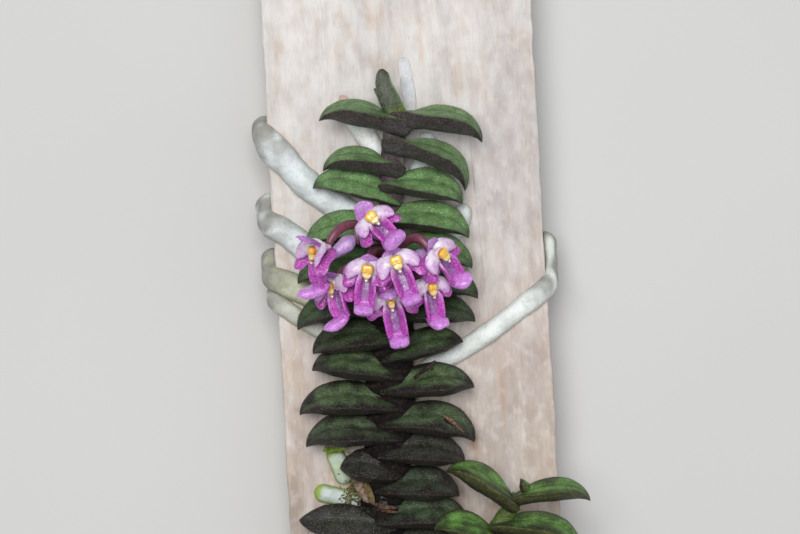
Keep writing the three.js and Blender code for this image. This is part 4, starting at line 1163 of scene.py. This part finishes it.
def barSkin(line, girths, facing, tones, square=1.0, notch=0.0, speck=0.0, rounding=0.25):
    # a superellipse x = w |cos a|^p, z = d |sin a|^p carried along a bowed line, with its half width
    # and depth read from the girths; the notch pulls the middle of the tip back by that share of the
    # line; its tones are those of its foot and its tip
    s = np.sin(np.linspace(0, np.pi / 2, bloomLook["barRows"])) ** 0.85
    a = circle(bloomLook["columns"])
    cosine, sine = np.cos(a), np.sin(a)
    sBent = s[:, None] * (1 - notch * hill(cosine, 0, 0.3)[None] * s[:, None] ** 3)
    centre, along = bezier(line, sBent)
    up, across = sidesOf(along, facing)
    close = domed(s, rounding, 0.002)[:, None]
    at, wide, deep = np.array(girths).T
    wide, deep = (np.interp(s, at, size)[:, None] * close for size in (wide, deep))
    x = np.sign(cosine) * np.abs(cosine) ** square * wide
    z = np.sign(sine) * np.abs(sine) ** square * deep
    grid = centre + across * x[..., None] + up * z[..., None]
    grid = grid + up * (0.03 * waves(grid, 1.1, 5))[..., None]
    return closedSkin(grid, mixed(*tones, ease(s * 1.3 - 0.1)[:, None] + 0 * a[None]), speck)


def lipSkin(seed, reach):
    # A trough from the hub down. Outside x = W sin f, z = Z + H (1 - cos f) for f from -90 to 90
    # degrees; a thin round rim; inside, banks that round over from the rim to the floor's edge at
    # 0.38 W, as 1 - (1 - b)^1.7, and a nearly level floor between them.
    look = bloomLook
    s = np.linspace(0, 1, 34)
    f = np.linspace(-np.pi / 2, np.pi / 2, 22)
    over = np.linspace(0, np.pi, 9)[1:-1]
    across = np.linspace(1, -1, 27)
    y = look["lipTop"] - look["lipLength"] * reach * s
    bottom = (-0.5 + 0.2 * np.sin(np.pi * s) + 0.35 * s)[:, None]
    wide = (1.1 * read([(0, 0.7), (0.3, 0.98), (0.75, 1), (1, 0.94)], s))[:, None]
    tall = (1.3 * read([(0, 0.8), (0.2, 0.98), (0.5, 0.98), (0.8, 0.86), (1, 0.72)], s))[:, None]
    rim, level, edge = look["rimThick"], look["floorThick"], look["floorEdge"]
    sine = np.sin(f)
    outX, outZ = wide * np.sign(sine) * np.abs(sine) ** 0.8, bottom + tall * (1 - np.cos(f)) ** 0.85
    rimX, rimZ = wide - rim / 2 + rim / 2 * np.cos(over), bottom + tall + 0.5 * rim * np.sin(over)
    inX = (wide - rim) * across[None]
    bank = np.clip((np.abs(across) - edge) / 0.62, 0, 1)[None]
    bank = 0.75 * (1 - (1 - bank) ** 1.7) + 0.25 * bank**2
    inZ = bottom + level + (tall - level) * bank + 0.05 * across[None] ** 2
    x = np.concatenate([outX, rimX, inX, -rimX[:, ::-1]], 1)
    z = np.concatenate([outZ, rimZ, inZ, rimZ[:, ::-1]], 1)
    z = z + 0.05 * np.sin(8 * s + seed)[:, None] * (np.abs(x) > 0.6 * wide)
    grid = np.stack([x, y[:, None] + 0 * x, z], -1)
    grid = grid + np.array([0, 0, 1]) * (0.035 * waves(grid, 0.8, 400 + seed))[..., None]
    part = np.concatenate([0 * f, 0 * over + 1, 0 * across + 2, 0 * over + 1])[None] + 0 * x
    height = np.clip((z - bottom - level) / (tall - level), 0, 1)
    patch = waves(grid, 1.3, 500 + seed)
    tint = mixed(look["lobeDeep"], look["wall"], 0.55 + 0.4 * height)
    tint = mixed(tint, look["rim"], (part == 1) * (0.2 + 0.4 * patch))
    banked = np.concatenate([0 * f, 0 * over, ease((np.abs(across) - 0.34) / 0.26), 0 * over])[None] + 0 * x
    floor = mixed(look["floor"], look["deep"], 0.25 * hill(s, 0.0, 0.2)[:, None] + 0 * x)
    floor = mixed(floor, look["lobeDeep"], 0.55 * ease((s - 0.55) / 0.45)[:, None] + 0 * x)
    bankTint = mixed(look["wall"], look["deep"], 0.15 + 0.4 * patch)
    bankTint = mixed(bankTint, look["white"], 0.7 * ease((0.4 - s) / 0.38)[:, None] * ease(0.6 + patch))
    tint = mixed(tint, mixed(floor, bankTint, banked), part == 2)
    throat = 0.8 * hill(s, 0.0, 0.24)[:, None] * ease((height - 0.3) / 0.4)
    tint = mixed(tint, look["white"], throat * (0.8 + 0.3 * patch))
    # painted glints, most near the top of the lip and high on its walls
    glint = (0.35 + 0.6 * hill(s, 0.1, 0.35))[:, None] * ease((height - 0.2) / 0.4) + 0.1
    return closedSkin(grid, tint, glint)


def pod(centre, radii, rows, columns, power=1.0):
    # x = rx sin u cos v, y = ry cos u, z = rz sin u sin v, each sine and cosine raised to the power
    u = np.linspace(0.06, np.pi - 0.06, rows)[:, None]
    v = circle(columns)[None]
    sineU, cosineU, sineV, cosineV = (
        np.sign(c) * np.abs(c) ** power for c in (np.sin(u), np.cos(u), np.sin(v), np.cos(v))
    )
    grid = np.stack([sineU * cosineV, cosineU + 0 * v, sineU * sineV], -1)
    return grid * np.asarray(radii) + np.asarray(centre)


def bloomSkins(k):
    # one flower in its own frame: hood above, petals round the column, sepals below, lip down the
    # middle with its lobe, and spur and column behind. Each line is a bezier of three points, with a
    # small random shift of its own.
    look = bloomLook
    reach, lobe, toe, curl, bow, hood, cupped, lift = look["builds"][k]
    rng = np.random.default_rng(40 + k)

    def j(size):
        return rng.uniform(-size, size)

    hoodTones = look["dorsal"], look["dorsalTip"], look["petalEdge"]
    petalTones = look["white"], look["petal"], look["petalTip"]
    sepalTones = look["deep"], look["magenta"], look["petalEdge"]
    line = [[0, 0.1, -0.1], [j(0.06), bow[0], bow[1]], [j(0.15), hood[0], hood[1] + j(0.1)]]
    facing = (0, 1, 0.275 * (hood[1] - 0.7) - 1)
    skins = [bladeSkin(line, 1.15, -0.3, facing, broadTip, hoodTones, 50 + k, 0.1, 0.12)]
    for s in (-1, 1):
        line = [
            [0.05 * s, 0.35, 0.45],
            [1.45 * s, 0.8 + j(0.08), 1.0 + 0.3 * cupped],
            [1.95 * s, -1.05 + j(0.2), 0.8 + 1.2 * cupped + j(0.15)],
        ]
        facing = (0.3 * cupped * (1 - s), 0.4, 1)
        skins.append(bladeSkin(line, 0.84, -0.2, facing, broadTip, petalTones, 60 + k + s, 0.1, 0.12))
        line = [
            [0.4 * s, -0.1, -0.1],
            [1.75 * s, 0.0 + j(0.15), 0.6 * cupped],
            [(2.25 + j(0.15)) * s, -1.9 + j(0.3), 0.4 + 1.6 * cupped + j(0.2)],
        ]
        facing = (0.35 * s * (1 - cupped) + 0.8 * cupped, 0.2, 1)
        skins.append(bladeSkin(line, 1.0, -0.25, facing, pointedTip, sepalTones, 80 + k + s, 0.26, 0.06))
    skins.append(lipSkin(k, reach))
    end = look["lipTop"] - look["lipLength"] * reach
    line = [
        [0, end + 0.4, 0.05],
        [0.4 * curl, end - 0.7 * lobe, 0.1],
        [curl, end - 0.72 * lobe, 1.7 * lobe * toe],
    ]
    girths = [(0, 1.04, 0.45)] + [(at, wide * lobe, deep * lobe) for at, wide, deep in look["lobeGirths"]]
    tones = look["lobeDeep"], look["lobe"]
    # the lobe's speck of 0.4 and the spur's of 0.3 place painted glints
    skins.append(barSkin(line, girths, (0, 1, 0.4), tones, 0.7, 0.1 if k == 0 else 0.05, 0.4, 0.3))
    line = [[0, 0.2 * lift - 0.9, -0.1], [0, 0.9 * lift - 1.1, -1.8], [0, lift + 0.05, -3.3]]
    tones = look["spur"], look["spurTip"]
    skins.append(barSkin(line, look["spurGirths"], (0, 1, 0.2), tones, 1.0, 0.0, 0.3, 0.35))
    line = [[0, 0.15, -0.5], [0, 0.35, 0.3], [0, 0.1, 1.1]]
    tones = look["column"], look["column"]
    skins.append(barSkin(line, look["columnGirths"], (0, 1, 0), tones, 0.9))
    return skins


antherLook = {
    "gold": shade(246, 200, 70),
    "bright": shade(255, 226, 120),
    "orange": shade(206, 130, 40),
    "beak": shade(248, 232, 180),
    "brown": shade(128, 76, 44),
    "drop": shade(250, 246, 236),
    # how large the cap is in each flower, and how bright: lower for the caps in shade under their hoods,
    # which turns them orange, a painted shade
    "blooms": [
        (1.0, 1.0),
        (0.8, 0.75),
        (0.8, 0.75),
        (1.0, 0.8),
        (1.0, 1.0),
        (0.95, 1.0),
        (0.85, 0.6),
        (0.7, 0.5),
    ],
}


def antherSkins(k):
    # cap: a squarish pod whose face sinks by 0.09 e^-(x/0.12)^2 and the like along its crossed
    # grooves; below it the beak, a pod drawn in by nearly half towards its end, and a wet drop
    look = antherLook
    size, bright = look["blooms"][k]
    cap = pod((0, 0.2, 1.36), (0.64 * size, 0.5 * size, 0.4), 22, 30, 0.68)
    x, y, z = np.moveaxis(cap, -1, 0)
    top = ease((z - 1.3) / 0.35)
    z -= top * (0.09 * hill(x, 0, 0.12) + 0.04 * hill(y, 0.04, 0.1))
    # the cap's top is gold; the brighter spot on each lobe's crown is a painted highlight, the orange along
    # the crossed grooves is painted shade, and a lower brightness turns the cap orange, painted shade under
    # its hood
    tint = mixed(look["orange"], look["gold"], top * bright)
    tint = mixed(tint, look["bright"], top * bright * hill(np.abs(x), 0.27, 0.18) * hill(y, 0.2, 0.3))
    tint = mixed(tint, look["orange"], 0.75 * top * (hill(x, 0, 0.07) + 0.3 * hill(y, 0.04, 0.08)))
    skins = [closedSkin(cap, tint)]
    beak = pod((0, -0.44, 1.36), (0.5 * size, 0.5, 0.27), 26, 28, 0.62)
    x, y, z = np.moveaxis(beak, -1, 0)
    down = ease((-0.3 - y) / 0.65)
    x *= 1 - 0.46 * down
    z -= 0.05 * hill(x, 0, 0.09) * down
    tint = mixed(look["gold"], look["beak"], ease((-0.26 - y) / 0.12))
    lobes = 0.5 + 0.5 * hill(np.abs(x), 0.26 * size, 0.12)
    tint = mixed(tint, look["brown"], 0.75 * ease((-0.56 - y) / 0.14) * lobes)
    # orange along the groove down the beak's middle, and over the beaks of dim caps: painted shade
    tint = mixed(tint, look["orange"], 0.2 * down * hill(x, 0, 0.06) + 0.9 * (0.75 - bright))
    skins.append(closedSkin(beak, tint))
    skins.append(closedSkin(pod((0, -0.98, 1.4), (0.16, 0.15, 0.15), 12, 16), look["drop"]))
    return skins


def spun(axis, angle):
    # the turn about one axis: cos on the two other axes, and plus and minus sin across them
    i, j = ((1, 2), (2, 0), (0, 1))[axis]
    turn = np.eye(3)
    turn[i, i] = turn[j, j] = math.cos(angle)
    turn[j, i], turn[i, j] = math.sin(angle), -math.sin(angle)
    return turn


def placement(row):
    # turn = Ry(yaw) Rx(pitch) Rz(roll)
    at, yaw, pitch, roll, size = row[:5]
    yaw, pitch, roll = (math.radians(v) for v in (yaw, pitch, roll))
    return spun(1, yaw) @ spun(0, pitch) @ spun(2, roll), np.array(at), size


for k, row in enumerate(bloomLook["blooms"]):
    place = placement(row)
    for name, skins, material, slot in (
        (f"bloom_{k + 1}", bloomSkins(k), "petal_flesh", "petal"),
        (f"anther_cap_{k + 1}", antherSkins(k), "anther_wax", "anther"),
    ):
        makePiece(name + "_dressed", [moved(s, *place) for s in skins], material, [name])
print("flowers dressed")

stalkLook = {
    "axis": [[-2.3, 9.6, 11.6], [-2.4, 8.9, 13.4], [-2.5, 7.4, 14.6], [-2.6, 5.8, 15.1], [-2.5, 4.8, 15.1]],
    "radius": 0.6,
    "tipRadius": 0.42,
    "pedicel": (0.42, 0.52),
    "maroon": shade(122, 66, 84),
    # the darker tone of the stalk and the pedicels' feet, partly their own dark maroon, partly painted shade
    # under the flowers
    "dusk": shade(92, 60, 66),
    "bract": shade(132, 96, 120),
    "bractOn": 1,
    "bractLine": [[0, 0, 0], [-0.5, -1.0, 0.4], [-0.25, -2.0, 0.1]],  # from the pedicel it sits on
}
oldStalkLook = {
    "axis": [[-0.3, -6.0, 13.1], [0.8, -5.2, 13.5], [2.1, -4.3, 13.6]],
    "radius": 0.2,
    "husk": shade(70, 57, 52),
    "dark": shade(46, 37, 35),
}


def tubeSkin(centre, along, radius, facing, tint, ribs=0.0, columns=18, seed=3):
    # radius (1 + ribs cos 6a) round a centre line, with a slight unevenness
    a = circle(columns)
    up, across = sidesOf(along, facing)
    spokes = spokesOf(up, across, np.sin(a)[None], np.cos(a)[None])
    r = radius[:, None] * (1 + ribs * np.cos(6 * a)[None])
    grid = centre[:, None] + spokes * r[..., None]
    grid = grid + spokes * (0.04 * r * waves(grid, 1.4, seed))[..., None]
    return closedSkin(grid, tint)


def stalkSkins():
    # the stalk, then a pedicel for each flower: a bezier over start, first, behind and back, that
    # swells as sin(pi t / 2)
    look = stalkLook
    t = np.linspace(0, 1, 40)
    centre, along = through(look["axis"], t)
    radius = look["radius"] + (look["tipRadius"] - look["radius"]) * t
    # the stalk in the darker tone: partly its own dark maroon, partly painted shade under the flowers
    skins = [tubeSkin(centre, along, radius, (1, 0, 0), look["dusk"])]
    for k, row in enumerate(bloomLook["blooms"]):
        turn, at, size = placement(row)
        start = through(look["axis"], np.array([row[5]]))[0][0]
        spurRise = bloomLook["builds"][k][7]
        back = turn @ (np.array([0, 0.33 + 0.3 * spurRise, -0.45]) * size) + at
        behind = turn @ (np.array([0, 1.7, -1.8]) * size) + at + np.array([0, row[7], 0])
        first = start + (behind - start) * 0.45 + np.array([0, row[6], 0])
        centre, along = bezier([start, first, behind, back], t)
        thin, thick = look["pedicel"]
        radius = (thin + (thick - thin) * np.sin(np.pi / 2 * t)) * (1 - 0.25 * ease((t - 0.85) / 0.15))
        # darker towards the stalk: partly the pedicel's own colour, partly painted shade among the flowers
        tint = mixed(look["dusk"], look["maroon"], ease(t * 1.6)[:, None] * np.ones((1, 18)))
        skins.append(tubeSkin(centre, along, radius, (0.2, 0.3, 1), tint, 0.05, seed=60 + k))
        if k == look["bractOn"]:
            root = centre[16]
    s = np.linspace(0, 1, 16)
    centre, along = bezier([root + np.array(step) for step in look["bractLine"]], s)
    radius = 0.33 * np.sin(np.pi * (0.12 + 0.84 * s)) ** 0.8
    skins.append(tubeSkin(centre, along, radius, (1, 0, 0), look["bract"], 0.03))
    return skins


def oldStalkSkins():
    # a shrivelled tube, radius (1 + 0.16 sin 15t), with two dry scales on it
    look = oldStalkLook
    t = np.linspace(0, 1, 36)
    centre, along = through(look["axis"], t)
    tint = mixed(look["dark"], look["husk"], ease(0.5 + waves(centre, 1.2, 8))[:, None] * np.ones((1, 18)))
    radius = look["radius"] * (1 + 0.16 * np.sin(15 * t)) * (1 - 0.35 * ease((t - 0.9) / 0.1))
    skins = [tubeSkin(centre, along, radius, (0, 0, 1), tint, 0.12)]
    for at, reach in ((0.3, (0.5, 0.5, 0.25)), (0.7, (0.45, -0.35, 0.3))):
        base = through(look["axis"], np.array([at]))[0][0]
        s = np.linspace(0, 1, 12)
        line, way = bezier([base, base + np.array(reach) * 0.6, base + np.array(reach)], s)
        radius = 0.17 * np.sin(np.pi * (0.25 + 0.7 * s))
        skins.append(tubeSkin(line, way, radius, (0, 0, 1), look["husk"], 0.1, 12))
    return skins


makePiece("flower_stalk_dressed", stalkSkins(), "stalk_skin", ["flower_stalk"])
makePiece("old_stalk_dressed", oldStalkSkins(), "dry_scraps", ["old_stalk"])

litterLook = {
    "moss": shade(140, 148, 82),
    "brown": shade(120, 104, 74),
    "green": shade(140, 168, 70),
    "seed": 77,
    "bits": 300,
    "bitSize": (0.05, 0.15),
    "bitSpread": 0.45,
    "ground": 8.05,
    # the low roots under the crumbs: middle and spread along y and x, and height
    "mounds": [(-16.2, 2.5, -8.9, 1.3, 1.0), (-19.0, 0.9, -7.8, 2.2, 1.1)],
    "paths": [[[-8.5, -14.6], [-7.7, -16.6], [-7.2, -18.4]], [[-8.6, -18.3], [-7.2, -18.9], [-5.6, -20.2]]],
    # shreds: line, half width, colour
    "shreds": [
        ([[-7.1, -16.7, 10.3], [-6.6, -17.9, 11.5], [-6.0, -19.3, 11.1]], 0.62, shade(160, 138, 122)),
        ([[-6.3, -17.0, 10.9], [-5.9, -18.2, 11.9], [-5.5, -19.5, 11.6]], 0.4, shade(120, 104, 74)),
        ([[-5.6, -19.3, 11.2], [-4.5, -19.8, 12.3], [-2.9, -19.9, 12.2]], 0.22, shade(92, 70, 60)),
        ([[-5.3, -19.8, 11.4], [-4.2, -20.3, 12.2], [-2.7, -20.4, 12.0]], 0.16, shade(76, 54, 48)),
    ],
    "greenScrap": [[-8.2, -13.3, 9.9], [-9.6, -12.9, 10.2], [-10.7, -13.5, 9.2]],
}


def litterSkins():
    # mossy crumbs: small uneven pods scattered along the low roots, and papery shreds of old sheath
    look = litterLook
    rng = np.random.default_rng(look["seed"])
    skins = []
    for k in range(look["bits"]):
        place, _ = bezier(look["paths"][k % 2], rng.uniform(0, 1))
        x, y = place + rng.normal(0, look["bitSpread"], 2)
        size = rng.uniform(*look["bitSize"])
        grid = pod((0, 0, 0), (size, size * rng.uniform(0.6, 1.5), size * 0.7), 6, 8)
        turn = spun(2, rng.uniform(0, 6.28))
        grid = grid * (1 + 0.25 * waves(grid, 0.5, k)[..., None])
        tint = mixed(look["moss"], look["brown"], rng.uniform(0, 1))
        z = look["ground"]
        for my, sy, mx, sx, high in look["mounds"]:
            z = z + high * (hill(y, my, sy) * hill(x, mx, sx))
        skins.append(moved(closedSkin(grid, tint), turn, (x, y, z)))
    for line, half, colour in look["shreds"]:
        tones = colour, colour, look["brown"]
        skins.append(bladeSkin(line, half, 0.5, (0.2, 0.1, 1), pointedTip, tones, 5))
    tones = [look["green"]] * 3
    skins.append(bladeSkin(look["greenScrap"], 0.55, -0.4, (0, 0.2, 1), pointedTip, tones, 6))
    return skins


makePiece("stem_sheaths_and_shade", sheathSkins(mainShootLook, 41), "dry_scraps")
makePiece("leaf_scar", scarSkins(), "dry_scraps")
makePiece("mossy_scraps", litterSkins(), "dry_scraps")
print("stalks and scraps made")

# A pale floor under the slat's back, and soft lights; the key comes from beyond the shoot's tip.
stageLook = {
    "reach": 900,
    "below": 0.02,
    # lights: place, size, power, colour; and the air's colour and strength
    "key": ((-60, 120, 520), 320, 2.55, (1.0, 0.99, 0.98)),
    "fill": ((260, -160, 360), 400, 0.35, (0.94, 0.97, 1.0)),
    "air": ((0.9, 0.92, 0.96, 1), 0.26),
}


def makeStage():
    # the floor is a broad flat disc of rings, just below the slat, with a faint mottle
    rows, columns = 12, 64
    r = np.linspace(0.001, stageLook["reach"], rows)[:, None]
    a = circle(columns)[None]
    x, y = r * np.cos(a), r * np.sin(a)
    rings = np.stack([x, y, 0 * x - stageLook["below"]], -1).reshape(-1, 3) * mm
    mesh = bpy.data.meshes.new("floor")
    mesh.from_pydata(rings.tolist(), [], ringQuads(rows, columns).tolist())
    mesh.materials.append(materials["floor_paper"])
    floor = bpy.data.objects.new("floor", mesh)
    bpy.context.scene.collection.objects.link(floor)
    for name in ("key", "fill"):
        place, size, power, colour = stageLook[name]
        light = bpy.data.lights.new(name + "Light", "AREA")
        light.size, light.energy, light.color = size * mm, power, colour
        lamp = bpy.data.objects.new(name + "Light", light)
        lamp.location = [v * mm for v in place]
        away = np.array(place, float) - np.array([0, 4, 10])
        turn = math.atan2(away[0], -away[1])
        lamp.rotation_euler = (math.atan2(math.hypot(away[0], away[1]), away[2]), 0, turn)
        bpy.context.scene.collection.objects.link(lamp)
    world = bpy.data.worlds.new("studio")
    world.use_nodes = True
    air = world.node_tree.nodes["Background"].inputs
    air["Color"].default_value, air["Strength"].default_value = stageLook["air"]
    bpy.context.scene.world = world


makeStage()
print("stage set")
